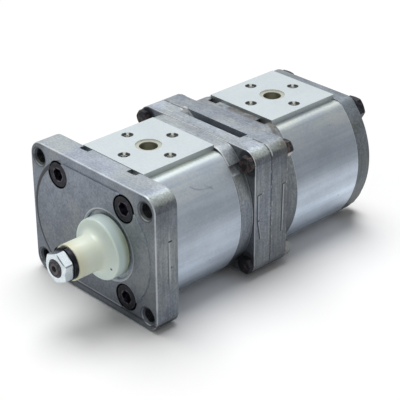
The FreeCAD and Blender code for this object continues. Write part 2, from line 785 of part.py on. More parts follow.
def pressure_seal(name, depth):
    """Seal round the pressure side of a block: two half rings, a bridge and two ends."""
    inner = "(%s - Dims.pressure_seal_width / 2)" % PRESSURE_SEAL
    outer = "(%s + Dims.pressure_seal_width / 2)" % PRESSURE_SEAL
    band = "Dims.pressure_seal_width"
    ring = cut(name + "_ring",
               cylinder(name + "_outer", outer, depth, x=SHAFT_X),
               cylinder(name + "_inner", inner, depth, x=SHAFT_X))
    upper = box(name + "_upper", "Dims.centre_distance", depth, "Dims.centre_distance")
    half = common(name + "_half", [ring, upper])
    bridge = box(name + "_bridge", "Dims.centre_distance - 2 * %s" % inner, depth, band,
                 x="%s - %s" % (inner, SHAFT_X))
    end = box(name + "_end", "%s - %s" % (TIP_RADIUS, outer), depth, band,
              x="%s + %s - %s / 2" % (SHAFT_X, outer, band))
    left_half = mirrored(name + "_half_left", half)
    left_end = mirrored(name + "_end_left", end)
    return fuse(name, [half, bridge, end, left_half, left_end])


def bearing_block(pump, end, place):
    """One block carries both shafts and closes the side of the gears."""
    name = "%s_bearing_block_%s" % (pump, end)
    body = doc.addObject("PartDesign::Body", name + "_body")
    outline = sketch_on(body, name + "_outline", "XZ_Plane")
    draw_eight(outline, TIP_RADIUS)
    pad(body, outline, block_length(pump))
    round_pocket(body, name + "_bores", AXES, BLOCK_BORE)
    start = "0" if end == "fore" else "%s - Dims.pressure_seal_depth" % block_length(pump)
    groove = put(pressure_seal(name + "_groove", "Dims.pressure_seal_depth"), y=start)
    return put(cut(name, body, groove), y=place)


def bearing_sleeves(pump, places):
    """Four sleeves, two in each block."""
    sleeves = []
    inner = JOURNAL + " + Dims.journal_gap"
    for end, place in places:
        name = "%s_sleeve_%s" % (pump, end)
        outside = cylinder(name + "_outer", BLOCK_BORE, block_length(pump), SHAFT_X, place)
        inside = cylinder(name + "_inner", inner, block_length(pump), SHAFT_X, place)
        sleeve = cut(name, outside, inside)
        sleeves += [sleeve, mirrored(name + "_left", sleeve)]
    return group(pump + "_bearing_sleeves", sleeves)


def axial_seals(pump, places):
    """Pressure seals in the outer faces of both blocks."""
    seals = []
    for end, place in places:
        name = "%s_axial_seal_%s" % (pump, end)
        if end == "aft":
            place = "%s + %s - Dims.pressure_seal_depth" % (place, block_length(pump))
        seals.append(put(pressure_seal(name, "Dims.pressure_seal_depth"), y=place))
    return group(pump + "_axial_seals", seals)


def body_seals(pump, start):
    """Square-section rings in the grooves of both body ends."""
    rings = []
    length = "Dims.%s_body_length" % pump
    height = "(Dims.ring_groove_depth - Dims.end_gap)"
    for end, place in (("fore", start), ("aft", "%s + %s - %s" % (start, length, height))):
        name = "%s_body_seal_%s" % (pump, end)
        ring = doc.addObject("PartDesign::Body", name)
        band = sketch_on(ring, name + "_band", "XZ_Plane")
        draw_ring(band, RING_WIDTH)
        pad(ring, band, height)
        rings.append(put(ring, y=place))
    return group(pump + "_body_seals", rings)


def shaft_seal(name, place):
    """Lip seal, as a plain ring that just clears the shaft."""
    outside = cylinder(name + "_outer", "Dims.seal_outer / 2", "Dims.seal_width", SHAFT_X, place)
    inside = cylinder(name + "_inner", JOURNAL + " + Dims.journal_gap", "Dims.seal_width", SHAFT_X, place)
    return cut(name, outside, inside)


def retaining_ring():
    """Open spring ring in front of the shaft seal, with an eye at each end."""
    reach = "(Dims.seal_outer / 2 + Dims.clip_bite - Dims.side_gap)"
    inner = "(%s - Dims.clip_width)" % reach
    thickness = "Dims.clip_thickness"
    opening = box("clip_opening", "Dims.clip_opening", thickness, reach,
                  "-Dims.clip_opening / 2", "0", "-" + reach)
    inside = cylinder("clip_inside", inner, thickness)
    band = cut("clip_band", cylinder("clip_outside", reach, thickness), fuse("clip_cuts", [inside, opening]))
    across = "(Dims.clip_opening + Dims.clip_eye) / 2"
    down = "-(%s - Dims.clip_width / 2)" % inner
    eye = cylinder("clip_eye", "Dims.clip_eye / 2", thickness, across, "0", down)
    hole = cylinder("clip_eye_hole", "Dims.clip_eye_hole / 2", thickness, across, "0", down)
    whole = fuse("clip_whole", [band, eye, mirrored("clip_eye_left", eye)])
    holes = fuse("clip_eye_holes", [hole, mirrored("clip_eye_hole_left", hole)])
    ring = cut("seal_retaining_ring", whole, holes)
    return put(ring, SHAFT_X, "%s + %s + Dims.end_gap" % (FACE, CLIP_GROOVE))


def dowels(pump, places):
    pins = []
    for end, place in places:
        name = "%s_dowel_%s" % (pump, end)
        start = "%s - Dims.dowel_length / 2" % place
        pin = cylinder(name, "Dims.dowel_diameter / 2", "Dims.dowel_length", DOWEL_X, start)
        pins += [pin, mirrored(name + "_left", pin)]
    return group(pump + "_dowels", pins)


# Fasteners

def front_cover_screws():
    """Socket head screws that hold the front pump together."""
    x, z = SCREWS[0]
    seat = "%s + Dims.counterbore_depth" % FACE
    top = "%s - Dims.socket_head_height" % seat
    head = cylinder("socket_head_body", "Dims.socket_head / 2", "Dims.socket_head_height", x, top, z)
    shank = cylinder("socket_screw_shank", "Dims.screw_diameter / 2", FRONT_SCREW_LENGTH, x, seat, z)
    socket = hexagon("socket_hole", "Dims.socket_size", "Dims.socket_depth", x, top, z)
    screw = cut("socket_screw", fuse("socket_screw_body", [head, shank]), socket)
    return corners("front_cover_screws", screw)


def hex_head(name, flats, height, x, y, z, outwards):
    """Hexagon with its outer corners turned off at 30 degrees to its face."""
    prism = hexagon(name + "_prism", flats, height, x, y, z)
    narrow = "%s * %g / 2" % (flats, HEX_FACE)
    wide = "%s + %s * %g" % (narrow, height, HEX_SLOPE)
    low, high = (narrow, wide) if outwards else (wide, narrow)
    turned = cone(name + "_turned", low, high, height, x, y, z)
    return common(name, [prism, turned])


def rear_cover_bolts():
    """Hexagon bolts that hold the rear pump together."""
    x, z = SCREWS[0]
    seat = "%s + Dims.washer_thickness" % REAR_FACE
    head = hex_head("rear_bolt_head", "Dims.hex_size", "Dims.hex_height", x, seat, z, False)
    shank = cylinder("rear_bolt_shank", "Dims.screw_diameter / 2", REAR_SCREW_LENGTH, x,
                     "%s - %s" % (seat, REAR_SCREW_LENGTH), z)
    return corners("rear_cover_bolts", fuse("rear_bolt", [head, shank]))


def rear_cover_washers():
    x, z = SCREWS[0]
    outside = cylinder("washer_outer_disc", "Dims.washer_outer / 2", "Dims.washer_thickness", x, REAR_FACE, z)
    inside = cylinder("washer_hole", "Dims.screw_diameter / 2 + Dims.screw_gap", "Dims.washer_thickness",
                      x, REAR_FACE, z)
    return corners("rear_cover_washers", cut("rear_washer", outside, inside))


def joining_bolts():
    """Hexagon bolts through both middle plates."""
    x, z = JOINTS[0]
    seat = "%s + Dims.barrel_length" % END_COVER
    top = "%s - Dims.join_head" % seat
    head = hex_head("join_bolt_head", "Dims.join_hex", "Dims.join_head", x, top, z, True)
    length = "2 * Dims.plate_thickness + Dims.join_nut - Dims.join_recess"
    shank = cylinder("join_bolt_shank", "Dims.join_diameter / 2", length, x, seat, z)
    return corners("joining_bolts", fuse("join_bolt", [head, shank]))


def joining_nuts():
    x, z = JOINTS[0]
    seat = "%s + Dims.plate_thickness" % SEAM
    outside = hex_head("join_nut_body", "Dims.join_hex", "Dims.join_nut", x, seat, z, False)
    hole = cylinder("join_nut_hole", "Dims.join_diameter / 2 + Dims.thread_gap", "Dims.join_nut", x, seat, z)
    return corners("joining_nuts", cut("join_nut", outside, hole))


# Gears

def involute_point(base, radius, turn):
    """Point of an involute at a radius, turned round the gear's centre."""
    angle = math.acos(base / radius)
    spread = turn + math.tan(angle) - angle
    return Vector(radius * math.cos(spread), 0, radius * math.sin(spread))


def gear_blank(name, width):
    """Spur gear between two planes, first tooth towards +X."""
    teeth = int(round(number("Dims.tooth_count")))
    pitch = number(SHAFT_X)
    module = 2 * pitch / teeth
    pressure = math.radians(number("Dims.pressure_angle"))
    base = pitch * math.cos(pressure)
    tip = pitch + module
    root = pitch - ROOT_DEPTH * module
    half_tooth = math.pi / (2 * teeth) - number("Dims.tooth_backlash") / (2 * pitch)
    start = -half_tooth - (math.tan(pressure) - pressure)
    radii = [base + (tip - base) * step / FLANK_SPANS for step in range(FLANK_SPANS + 1)]
    first_rising = [involute_point(base, radius, start) for radius in radii]
    first_falling = [Vector(point.x, 0, -point.z) for point in reversed(first_rising)]
    foot = Vector(root * math.cos(start), 0, root * math.sin(start))
    edges = []
    for tooth in range(teeth):
        turn = FreeCAD.Rotation(AXIS_Y, -360.0 * tooth / teeth)
        half_step = FreeCAD.Rotation(AXIS_Y, -360.0 * (tooth + 0.5) / teeth)
        full_step = FreeCAD.Rotation(AXIS_Y, -360.0 * (tooth + 1) / teeth)
        rising = [turn.multVec(point) for point in first_rising]
        falling = [turn.multVec(point) for point in first_falling]
        foot_in = turn.multVec(foot)
        foot_out = turn.multVec(Vector(foot.x, 0, -foot.z))
        crest = turn.multVec(Vector(tip, 0, 0))
        valley = half_step.multVec(Vector(root, 0, 0))
        edges.append(Part.LineSegment(foot_in, rising[0]).toShape())
        edges.append(flank(rising))
        edges.append(Part.Arc(rising[-1], crest, falling[0]).toShape())
        edges.append(flank(falling))
        edges.append(Part.LineSegment(falling[-1], foot_out).toShape())
        edges.append(Part.Arc(foot_out, valley, full_step.multVec(foot)).toShape())
    face = Part.Face(Part.Wire(edges))
    item = doc.addObject("Part::Feature", name)
    item.Shape = face.extrude(Vector(0, number(width), 0))
    return item


def flank(points):
    curve = Part.BSplineCurve()
    curve.interpolate(points)
    return curve.toShape()


def turned(name, points):
    """Solid of revolution round the piece's own axis, from radius and place pairs."""
    body = doc.addObject("PartDesign::Body", name)
    sketch = sketch_on(body, name + "_profile", "XY_Plane")
    draw_polygon(sketch, points)
    feature = body.newObject("PartDesign::Revolution", name + "_turned")
    feature.Profile = sketch
    feature.ReferenceAxis = (sketch, ["V_Axis"])
    feature.Angle = 360
    return body


def tang_cut(name, length, upright):
    """Leaves a flat tongue on a shaft end by cutting both sides away."""
    room = "Dims.journal_diameter"
    over = "Dims.tang_width / 2"
    under = "-%s - %s" % (over, room)
    tools = []
    for side, near in (("_over", over), ("_under", under)):
        if upright:
            tools.append(box(name + side, room, length, "2 * " + room, near, "0", "-" + room))
        else:
            tools.append(box(name + side, "2 * " + room, length, room, "-" + room, "0", near))
    return fuse(name, tools)


def journal_length(pump):
    """From the gear's side to short of the cover."""
    return "(%s + Dims.side_gap + Dims.end_gap - Dims.journal_end_gap)" % block_length(pump)


def driven_gear(pump, start):
    """Gear with a journal on each side, turned so that it meshes with its drive gear."""
    name = pump + "_driven_gear"
    width = "Dims.%s_gear_width" % pump
    reach = journal_length(pump)
    shaft = turned(name + "_shaft", [
        ("0", "-" + reach),
        (JOURNAL, "-" + reach),
        (JOURNAL, "%s + %s" % (width, reach)),
        ("0", "%s + %s" % (width, reach)),
    ])
    teeth = gear_blank(name + "_teeth", width)
    half_space = 180.0 / number("Dims.tooth_count")
    teeth.Placement.Rotation = FreeCAD.Rotation(AXIS_Y, 180.0 - half_space)
    return put(fuse(name, [shaft, teeth]), "-" + SHAFT_X, gear_face(pump, start))


def woodruff_segment(name, gap):
    """Disc segment that lies in the taper, grown by a gap for its keyway."""
    top = JOURNAL
    width = "(Dims.key_width + 2 * %s)" % gap
    side = "%s - %s / 2" % (SHAFT_X, width)
    middle = "%s - Dims.taper_length / 2" % TAPER_START
    disc = doc.addObject("Part::Cylinder", name + "_disc")
    disc.setExpression("Radius", "Dims.key_radius + %s" % gap)
    disc.setExpression("Height", width)
    disc.Placement = FreeCAD.Placement(Vector(), FreeCAD.Rotation(AXIS_Y, 90))
    put(disc, side, middle, "%s + Dims.key_radius - Dims.key_height" % top)
    keep = box(name + "_keep", width, "4 * Dims.key_radius", top, side, middle + " - 2 * Dims.key_radius")
    return common(name, [disc, keep])


def drive_shaft():
    """Front drive gear in one piece with the tapered shaft and the rear tongue."""
    rear_end = "(%s - Dims.coupling_length / 2 + Dims.tang_length)" % SEAM
    tang_start = "(%s - Dims.coupling_length / 2 - Dims.tang_gap)" % SEAM
    thread = "Dims.shaft_thread / 2"
    shaft = turned("drive_shaft_blank", [
        ("0", rear_end),
        (JOURNAL, rear_end),
        (JOURNAL, TAPER_START),
        (TAPER_DIAMETER + " / 2", TAPER_START),
        (TAPER_SMALL, TAPER_END),
        (thread, TAPER_END),
        (thread, SHAFT_END + " + Dims.thread_chamfer"),
        (thread + " - Dims.thread_chamfer", SHAFT_END),
        ("Dims.centre_hole / 2", SHAFT_END),
        ("0", SHAFT_END + " + Dims.centre_hole"),
    ])
    put(shaft, SHAFT_X)
    teeth = gear_blank("drive_shaft_teeth", "Dims.front_gear_width")
    put(teeth, SHAFT_X, gear_face("front", FRONT_BODY))
    whole = fuse("drive_shaft_whole", [shaft, teeth])
    flats = put(tang_cut("drive_tang", "Dims.coupling_length", False), SHAFT_X, tang_start)
    keyway = woodruff_segment("keyway", "Dims.key_gap")
    return cut("drive_shaft", whole, fuse("drive_shaft_cuts", [flats, keyway]))


def rear_drive_gear():
    """Drive gear of the rear pump, with a tongue that enters the coupling."""
    reach = journal_length("rear")
    face = gear_face("rear", REAR_BODY)
    front_end = "(%s + Dims.coupling_length / 2 - Dims.tang_length)" % SEAM
    tang_length = "(Dims.tang_length + Dims.tang_gap)"
    rear_end = "(%s + Dims.rear_gear_width + %s)" % (face, reach)
    shaft = turned("rear_drive_blank", [
        ("0", front_end),
        (JOURNAL, front_end),
        (JOURNAL, rear_end),
        ("0", rear_end),
    ])
    put(shaft, SHAFT_X)
    teeth = put(gear_blank("rear_drive_teeth", "Dims.rear_gear_width"), SHAFT_X, face)
    whole = fuse("rear_drive_whole", [shaft, teeth])
    flats = put(tang_cut("rear_tang", tang_length, True), SHAFT_X, front_end)
    return cut("rear_drive_gear", whole, flats)


def shaft_coupling():
    """Disc with crossed slots that joins the two shaft tongues."""
    disc = cylinder("coupling_disc", "Dims.coupling_diameter / 2", "Dims.coupling_length")
    slot = "(Dims.tang_width + 2 * Dims.tang_gap)"
    depth = "(Dims.tang_length + 2 * Dims.tang_gap)"
    wide = "2 * Dims.coupling_diameter"
    front = box("coupling_front_slot", wide, depth, slot, "-Dims.coupling_diameter", "0", "-%s / 2" % slot)
    rear = box("coupling_rear_slot", slot, depth, wide, "-%s / 2" % slot,
               "Dims.coupling_length - %s" % depth, "-Dims.coupling_diameter")
    item = cut("shaft_coupling", disc, fuse("coupling_slots", [front, rear]))
    return put(item, SHAFT_X, "%s - Dims.coupling_length / 2" % SEAM)


# What is clamped on the shaft's taper

def protective_cap():
    """Moulded cap: a disc that covers the seal and a hub over the taper."""
    back = "(%s - Dims.cap_back)" % FACE
    inside = "(%s + Dims.cap_wall)" % CAP_STEP
    rim = "(%s / 2 - Dims.cap_wall)" % CAP_DIAMETER
    thread = "Dims.shaft_thread / 2 + Dims.key_gap"
    bottom = TAPER_END + " - Dims.key_gap"
    blank = turned("cap_blank", [
        (CAP_DIAMETER + " / 2", back),
        (CAP_DIAMETER + " / 2", CAP_STEP),
        ("Dims.cap_hub / 2", CAP_STEP),
        ("Dims.cap_hub / 2", CAP_END),
        (thread, CAP_END),
        (thread, bottom),
        (TAPER_SMALL + " + Dims.key_gap", bottom),
        (TAPER_DIAMETER + " / 2 + Dims.key_gap", TAPER_START),
        (JOURNAL + " + Dims.cap_clearance", TAPER_START),
        (JOURNAL + " + Dims.cap_clearance", inside),
        (rim, inside),
        (rim, back),
    ])
    hub = number("Dims.cap_hub / 2")
    outer = number(CAP_DIAMETER) / 2
    front = number(CAP_STEP)
    fillet = "(%s - Dims.cap_hub) / 2 - Dims.cap_round - Dims.cap_flat" % CAP_DIAMETER
    round_edges(blank, "Fillet", fillet, lambda edge: is_circle(edge, hub) and lies_at(edge, AXIS_Y, front))
    round_edges(blank, "Fillet", "Dims.cap_round",
                lambda edge: is_circle(edge, outer) and lies_at(edge, AXIS_Y, front))
    put(blank, SHAFT_X)
    slot = "(Dims.key_width + 2 * Dims.side_gap)"
    tip = "(%s - Dims.taper_length / 2 - Dims.key_radius - Dims.key_gap)" % TAPER_START
    keyway = box("cap_key_slot", slot, "%s - %s" % (inside, tip), JOURNAL + " + Dims.cap_clearance",
                 "%s - %s / 2" % (SHAFT_X, slot), tip)
    return cut("protective_cap", blank, keyway)


def lock_washer():
    """Split spring washer, pressed flat."""
    thickness = "Dims.lock_thickness"
    outside = cylinder("lock_outside", "Dims.lock_outer / 2", thickness, SHAFT_X, NUT_SEAT)
    inside = cylinder("lock_inside", "Dims.shaft_thread / 2 + Dims.screw_gap", thickness, SHAFT_X, NUT_SEAT)
    split = box("lock_split", "Dims.lock_split", thickness, "Dims.lock_outer",
                "%s - Dims.lock_split / 2" % SHAFT_X, NUT_SEAT)
    return cut("lock_washer", outside, fuse("lock_cut", [inside, split]))


def shaft_nut():
    """Thin hexagon nut with both faces chamfered, tightened to where its corners stand."""
    prism = hexagon("nut_prism", "Dims.nut_size", "Dims.nut_height", SHAFT_X, NUT_END)
    turn = FreeCAD.Rotation(AXIS_Z, -number("Dims.nut_turn"))
    prism.Placement.Rotation = TO_REAR.multiply(turn)
    half = "Dims.nut_height / 2"
    narrow = "Dims.nut_size * %g / 2" % HEX_FACE
    wide = "%s + %s * %g" % (narrow, half, HEX_SLOPE)
    front = cone("nut_front_turned", narrow, wide, half, SHAFT_X, NUT_END)
    rear = cone("nut_rear_turned", wide, narrow, half, SHAFT_X, "%s + %s" % (NUT_END, half))
    rounded = common("nut_body", [prism, fuse("nut_turned", [front, rear])])
    thread = "Dims.shaft_thread / 2 + Dims.thread_gap"
    hole = cylinder("nut_hole", thread, "Dims.nut_height", SHAFT_X, NUT_END)
    return cut("shaft_nut", rounded, hole)


def build():
    """All sub-parts; each label is the name of its file."""
    front_aft = "(%s - Dims.end_gap - %s)" % (END_COVER, block_length("front"))
    rear_aft = "(%s - Dims.end_gap - %s)" % (REAR_COVER, block_length("rear"))
    front_blocks = [("fore", "Dims.end_gap"), ("aft", front_aft)]
    rear_blocks = [("fore", REAR_BODY + " + Dims.end_gap"), ("aft", rear_aft)]
    seal_front = "%s + %s + Dims.clip_thickness + Dims.side_gap + Dims.end_gap" % (FACE, CLIP_GROOVE)
    end_seal = "%s - %s - Dims.seal_width - Dims.seal_room / 2" % (SEAM, CHAMBER_DEPTH)
    rear_seal = "%s + %s + Dims.seal_room / 2" % (SEAM, CHAMBER_DEPTH)
    coupling_seals = group("coupling_shaft_seals", [
        shaft_seal("end_cover_seal", end_seal),
        shaft_seal("rear_pump_seal", rear_seal),
    ])
    parts = [
        front_flange_cover(),
        pump_body("front", FRONT_BODY),
        middle_cover("front_end_cover", END_COVER, False),
        middle_cover("rear_mount_cover", SEAM, True),
        pump_body("rear", REAR_BODY),
        rear_end_cover(),
    ]
    for pump, blocks in (("front", front_blocks), ("rear", rear_blocks)):
        for end, place in blocks:
            parts.append(bearing_block(pump, end, place))
        parts.append(bearing_sleeves(pump, blocks))
        parts.append(axial_seals(pump, blocks))
    parts += [
        body_seals("front", FRONT_BODY),
        body_seals("rear", REAR_BODY),
        shaft_seal("shaft_seal", seal_front),
        retaining_ring(),
        coupling_seals,
        dowels("front", [("fore", FRONT_BODY), ("aft", END_COVER)]),
        dowels("rear", [("fore", REAR_BODY), ("aft", REAR_COVER)]),
        front_cover_screws(),
        rear_cover_bolts(),
        rear_cover_washers(),
        joining_bolts(),
        joining_nuts(),
        drive_shaft(),
        woodruff_segment("shaft_key", "0"),
        protective_cap(),
        lock_washer(),
        shaft_nut(),
        shaft_coupling(),
        driven_gear("front", FRONT_BODY),
        rear_drive_gear(),
        driven_gear("rear", REAR_BODY),
    ]
    return parts


def check(parts):
    """Stop before writing if any object failed or any sub-part is empty."""
    failed = [item.Label for item in doc.Objects if "Invalid" in item.State or "Error" in item.State]
    if failed:
        raise RuntimeError("failed: " + ", ".join(failed))
    for part in parts:
        if part.Shape.isNull() or not part.Shape.isValid() or not part.Shape.Solids:
            raise RuntimeError("%s has no valid solid" % part.Label)


parts = build()
doc.recompute()
check(parts)
os.makedirs("parts", exist_ok=True)
for part in parts:
    part.Shape.exportStep("parts/%s.step" % part.Label)
    print(part.Label, len(part.Shape.Solids), round(part.Shape.Volume, 1))
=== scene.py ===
import math

import bpy
import numpy as np
from mathutils import Matrix, Vector


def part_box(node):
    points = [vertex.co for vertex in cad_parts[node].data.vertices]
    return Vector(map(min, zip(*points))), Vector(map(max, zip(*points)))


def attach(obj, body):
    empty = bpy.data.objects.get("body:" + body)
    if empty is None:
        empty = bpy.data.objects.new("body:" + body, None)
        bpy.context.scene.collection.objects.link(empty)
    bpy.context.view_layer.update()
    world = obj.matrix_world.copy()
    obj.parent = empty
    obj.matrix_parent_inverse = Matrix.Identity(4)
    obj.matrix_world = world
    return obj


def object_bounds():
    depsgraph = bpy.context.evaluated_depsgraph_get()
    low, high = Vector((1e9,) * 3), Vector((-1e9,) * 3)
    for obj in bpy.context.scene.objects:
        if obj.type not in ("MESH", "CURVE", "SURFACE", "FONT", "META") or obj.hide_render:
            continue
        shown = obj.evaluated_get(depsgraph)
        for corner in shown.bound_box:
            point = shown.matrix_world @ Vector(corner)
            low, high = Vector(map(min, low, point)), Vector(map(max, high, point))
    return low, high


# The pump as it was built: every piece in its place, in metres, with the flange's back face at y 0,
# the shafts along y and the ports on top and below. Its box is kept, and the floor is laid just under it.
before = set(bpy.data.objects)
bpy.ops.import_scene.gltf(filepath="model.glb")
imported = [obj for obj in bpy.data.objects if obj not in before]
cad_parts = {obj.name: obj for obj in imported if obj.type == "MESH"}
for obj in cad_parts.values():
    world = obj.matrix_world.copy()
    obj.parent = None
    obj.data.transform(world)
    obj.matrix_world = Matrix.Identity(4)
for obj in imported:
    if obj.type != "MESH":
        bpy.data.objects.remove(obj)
cad_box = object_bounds()
MM = 0.001

# The camera stands to the front right of the pump and looks down on it with a long lens. Its place
# and lens were worked out from the four mounting holes, the pads and the screw holes of the ports.
CAMERA_PLACE = Vector((594.4, -486.7, 427.9)) * MM
CAMERA_AZIMUTH = math.radians(46.743)
CAMERA_ELEVATION = math.radians(28.173)
CAMERA_ROLL = math.radians(-0.337)
CAMERA_LENS = 126.94
CAMERA_SENSOR = 36

back = Vector((
    math.sin(CAMERA_AZIMUTH) * math.cos(CAMERA_ELEVATION),
    -math.cos(CAMERA_AZIMUTH) * math.cos(CAMERA_ELEVATION),
    math.sin(CAMERA_ELEVATION),
))
camera_side = Vector((0, 0, 1)).cross(back).normalized()
upright = back.cross(camera_side)
right = camera_side * math.cos(CAMERA_ROLL) + upright * math.sin(CAMERA_ROLL)
up = upright * math.cos(CAMERA_ROLL) - camera_side * math.sin(CAMERA_ROLL)
camera = bpy.data.objects.new("camera", bpy.data.cameras.new("camera"))
camera.data.lens = CAMERA_LENS
camera.data.sensor_width = CAMERA_SENSOR
camera.matrix_world = Matrix.Translation(CAMERA_PLACE) @ Matrix((right, up, back)).transposed().to_4x4()
bpy.context.scene.collection.objects.link(camera)
bpy.context.scene.camera = camera
bpy.context.scene.view_settings.view_transform = "Standard"

# Soft studio light: one wide lamp above, behind and to the left, and an even white room round it.
# The camera, mirrors and lenses see the room at full white, and all the rest is lit by less of it.
ROOM_LIGHT = 0.25
LAMP_STRENGTH = 2.7
LAMP_WIDTH = math.radians(48)
LAMP_FROM = Vector((-0.28, 0.16, 1.0))

world = bpy.data.worlds.new("room")
bpy.context.scene.world = world
world.use_nodes = True
room = world.node_tree
ray = room.nodes.new("ShaderNodeLightPath")
seen = ray.outputs["Is Camera Ray"]
for mirrored in ("Is Glossy Ray", "Is Transmission Ray"):
    either = room.nodes.new("ShaderNodeMath")
    either.operation = "MAXIMUM"
    room.links.new(seen, either.inputs[0])
    room.links.new(ray.outputs[mirrored], either.inputs[1])
    seen = either.outputs[0]
strength = room.nodes.new("ShaderNodeMapRange")
strength.inputs["To Min"].default_value = ROOM_LIGHT
strength.inputs["To Max"].default_value = 1
room.links.new(seen, strength.inputs["Value"])
room.links.new(strength.outputs[0], room.nodes["Background"].inputs["Strength"])
room.nodes["Background"].inputs["Color"].default_value = (1, 1, 1, 1)

lamp = bpy.data.objects.new("lamp", bpy.data.lights.new("lamp", "SUN"))
lamp.data.energy = LAMP_STRENGTH
lamp.data.angle = LAMP_WIDTH
lamp.rotation_mode = "QUATERNION"
lamp.rotation_quaternion = LAMP_FROM.to_track_quat("Z", "Y")
bpy.context.scene.collection.objects.link(lamp)


# The flange cover is cast aluminium with a fine grey skin, ground flat at the back, its edges painted
# light as wear and highlight. The counterbores of its screws are painted black as shade, and beside the
# step of its land runs a painted shadow.
class Value:
    """A number, colour or vector in a material. Arithmetic on numbers adds their Math nodes."""

    def __init__(self, tree, socket):
        self.tree = tree
        self.socket = socket

    def node(self, kind, settings, inputs, output=0):
        """A node of that kind: its settings first, then the values or links of its sockets."""
        made = self.tree.nodes.new(kind)
        for name, setting in settings.items():
            setattr(made, name, setting)
        for key, value in inputs.items():
            socket = made.inputs[key]
            if isinstance(value, Value):
                self.tree.links.new(value.socket, socket)
            elif socket.type == "RGBA":
                socket.default_value = (*value, 1)
            else:
                socket.default_value = value
        return Value(self.tree, made.outputs[output])

    def math(self, operation, first, second=0.0):
        return self.node("ShaderNodeMath", {"operation": operation}, {0: first, 1: second})

    def __add__(self, other):
        return self.math("ADD", self, other)

    def __sub__(self, other):
        return self.math("SUBTRACT", self, other)

    def __rsub__(self, other):
        return self.math("SUBTRACT", other, self)

    def __mul__(self, other):
        return self.math("MULTIPLY", self, other)

    def __truediv__(self, other):
        return self.math("DIVIDE", self, other)

    def __pow__(self, other):
        return self.math("POWER", self, other)

    def __abs__(self):
        return self.math("ABSOLUTE", self)

    __radd__ = __add__
    __rmul__ = __mul__

    def least(self, other):
        return self.math("MINIMUM", self, other)

    def most(self, other):
        return self.math("MAXIMUM", self, other)

    def step(self, start, end):
        """0 at start and 1 at end, smoothly between; start may be the higher of the two."""
        ends = {"Value": self, "From Min": start, "From Max": end}
        return self.node("ShaderNodeMapRange", {"interpolation_type": "SMOOTHSTEP"}, ends)

    def band(self, middle, reach):
        """1 at the middle, falling to 0 at that reach on both sides of it."""
        return abs(self - middle).step(reach, reach * 0.5)

    def parts(self):
        """The three numbers of a vector."""
        return [self.node("ShaderNodeSeparateXYZ", {}, {0: self}, axis) for axis in range(3)]

    def scaled(self, factors):
        """A vector times three factors."""
        return self.node("ShaderNodeVectorMath", {"operation": "MULTIPLY"}, {0: self, 1: factors})

    def times(self, factor):
        """A colour times a number."""
        return self.node("ShaderNodeVectorMath", {"operation": "SCALE"}, {0: self, "Scale": factor})

    def mix(self, low, high):
        """The colour low where this mask is 0, and high where it is 1."""
        return self.node("ShaderNodeMix", {"data_type": "RGBA"}, {0: self, 6: low, 7: high}, 2)

    def noise(self, waves, detail=2.0):
        """Smooth noise round 0.5 at this place, with that many waves in a metre."""
        return self.node("ShaderNodeTexNoise", {}, {"Vector": self, "Scale": waves, "Detail": detail})

    def specks(self, waves, share, size=0.25):
        """Round specks in that share of the cells, of which there are that many in a metre."""
        cells = {"Vector": self, "Scale": waves}
        away = self.node("ShaderNodeTexVoronoi", {}, cells)
        lot = self.node("ShaderNodeTexVoronoi", {}, cells, "Color").parts()[0]
        return away.step(size, size * 0.5) * lot.step(share + 0.01, share)

    def bump(self, height, strength=1.0):
        """The normal of a surface that rises by this number times the height."""
        inputs = {"Height": self, "Distance": height, "Strength": strength}
        return self.node("ShaderNodeBump", {}, inputs)


def near(place, spots, x_axis, y_axis):
    """The distance from the nearest of the lines that stand on the spots, along the third axis."""
    numbers = place.parts()
    found = None
    for first, second in spots:
        across = numbers[x_axis] - first
        along = numbers[y_axis] - second
        away = (across * across + along * along) ** 0.5
        found = away if found is None else found.least(away)
    return found


def strokes(place, x_axis, y_axis, lines, reach):
    """1 on the straight strokes between pairs of spots in the plane of two axes, 0 past the reach."""
    numbers = place.parts()
    found = None
    for (x0, y0), (x1, y1) in lines:
        length = math.hypot(x1 - x0, y1 - y0)
        x_way, y_way = (x1 - x0) / length, (y1 - y0) / length
        across, along = numbers[x_axis] - x0, numbers[y_axis] - y0
        on_line = (across * x_way + along * y_way).most(0.0).least(length)
        across, along = across - on_line * x_way, along - on_line * y_way
        away = (across * across + along * along) ** 0.5
        found = away if found is None else found.least(away)
    return found.step(reach, reach * 0.5)


def in_metres(lines):
    """Strokes whose ends were given in millimetres."""
    return [tuple((first * MM, second * MM) for first, second in line) for line in lines]


def outline(place, corner_place, corner):
    """The distance out of a rectangle round the middle with rounded corners, below 0 inside it."""
    x, _, z = place.parts()
    across = (abs(x) - (corner_place.x - corner)).most(0.0)
    along = (abs(z) - (corner_place.z - corner)).most(0.0)
    return (across * across + along * along) ** 0.5 - corner


def outer_edges(place, reach):
    """1 at a sharp outer edge, where rays inside the piece meet its next face; 0 past the reach."""
    settings = {"inside": True, "only_local": True, "samples": 6}
    return 1 - place.node("ShaderNodeAmbientOcclusion", settings, {"Distance": reach}, "AO")


def inner_corners(place, reach):
    """1 in a corner or slot of the piece, 0 where nothing stands within the reach."""
    settings = {"only_local": True, "samples": 6}
    return 1 - place.node("ShaderNodeAmbientOcclusion", settings, {"Distance": reach}, "AO")


def facing(place):
    """The direction in which the surface faces, as three numbers along the piece's own axes."""
    return place.node("ShaderNodeTexCoord", {}, {}, "Normal").parts()


def material(name, finish):
    """A material whose finish is worked out from the piece's own coordinates."""
    made = bpy.data.materials.new(name)
    made.use_nodes = True
    tree = made.node_tree
    tree.nodes.clear()
    place = Value(tree, tree.nodes.new("ShaderNodeTexCoord").outputs["Object"])
    shader = place.node("ShaderNodeBsdfPrincipled", {}, finish(place))
    output = tree.nodes.new("ShaderNodeOutputMaterial")
    tree.links.new(shader.socket, output.inputs["Surface"])
    return made


def dress(made, *nodes):
    """Gives built pieces a material."""
    for node in nodes:
        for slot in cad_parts[node].material_slots:
            slot.material = made


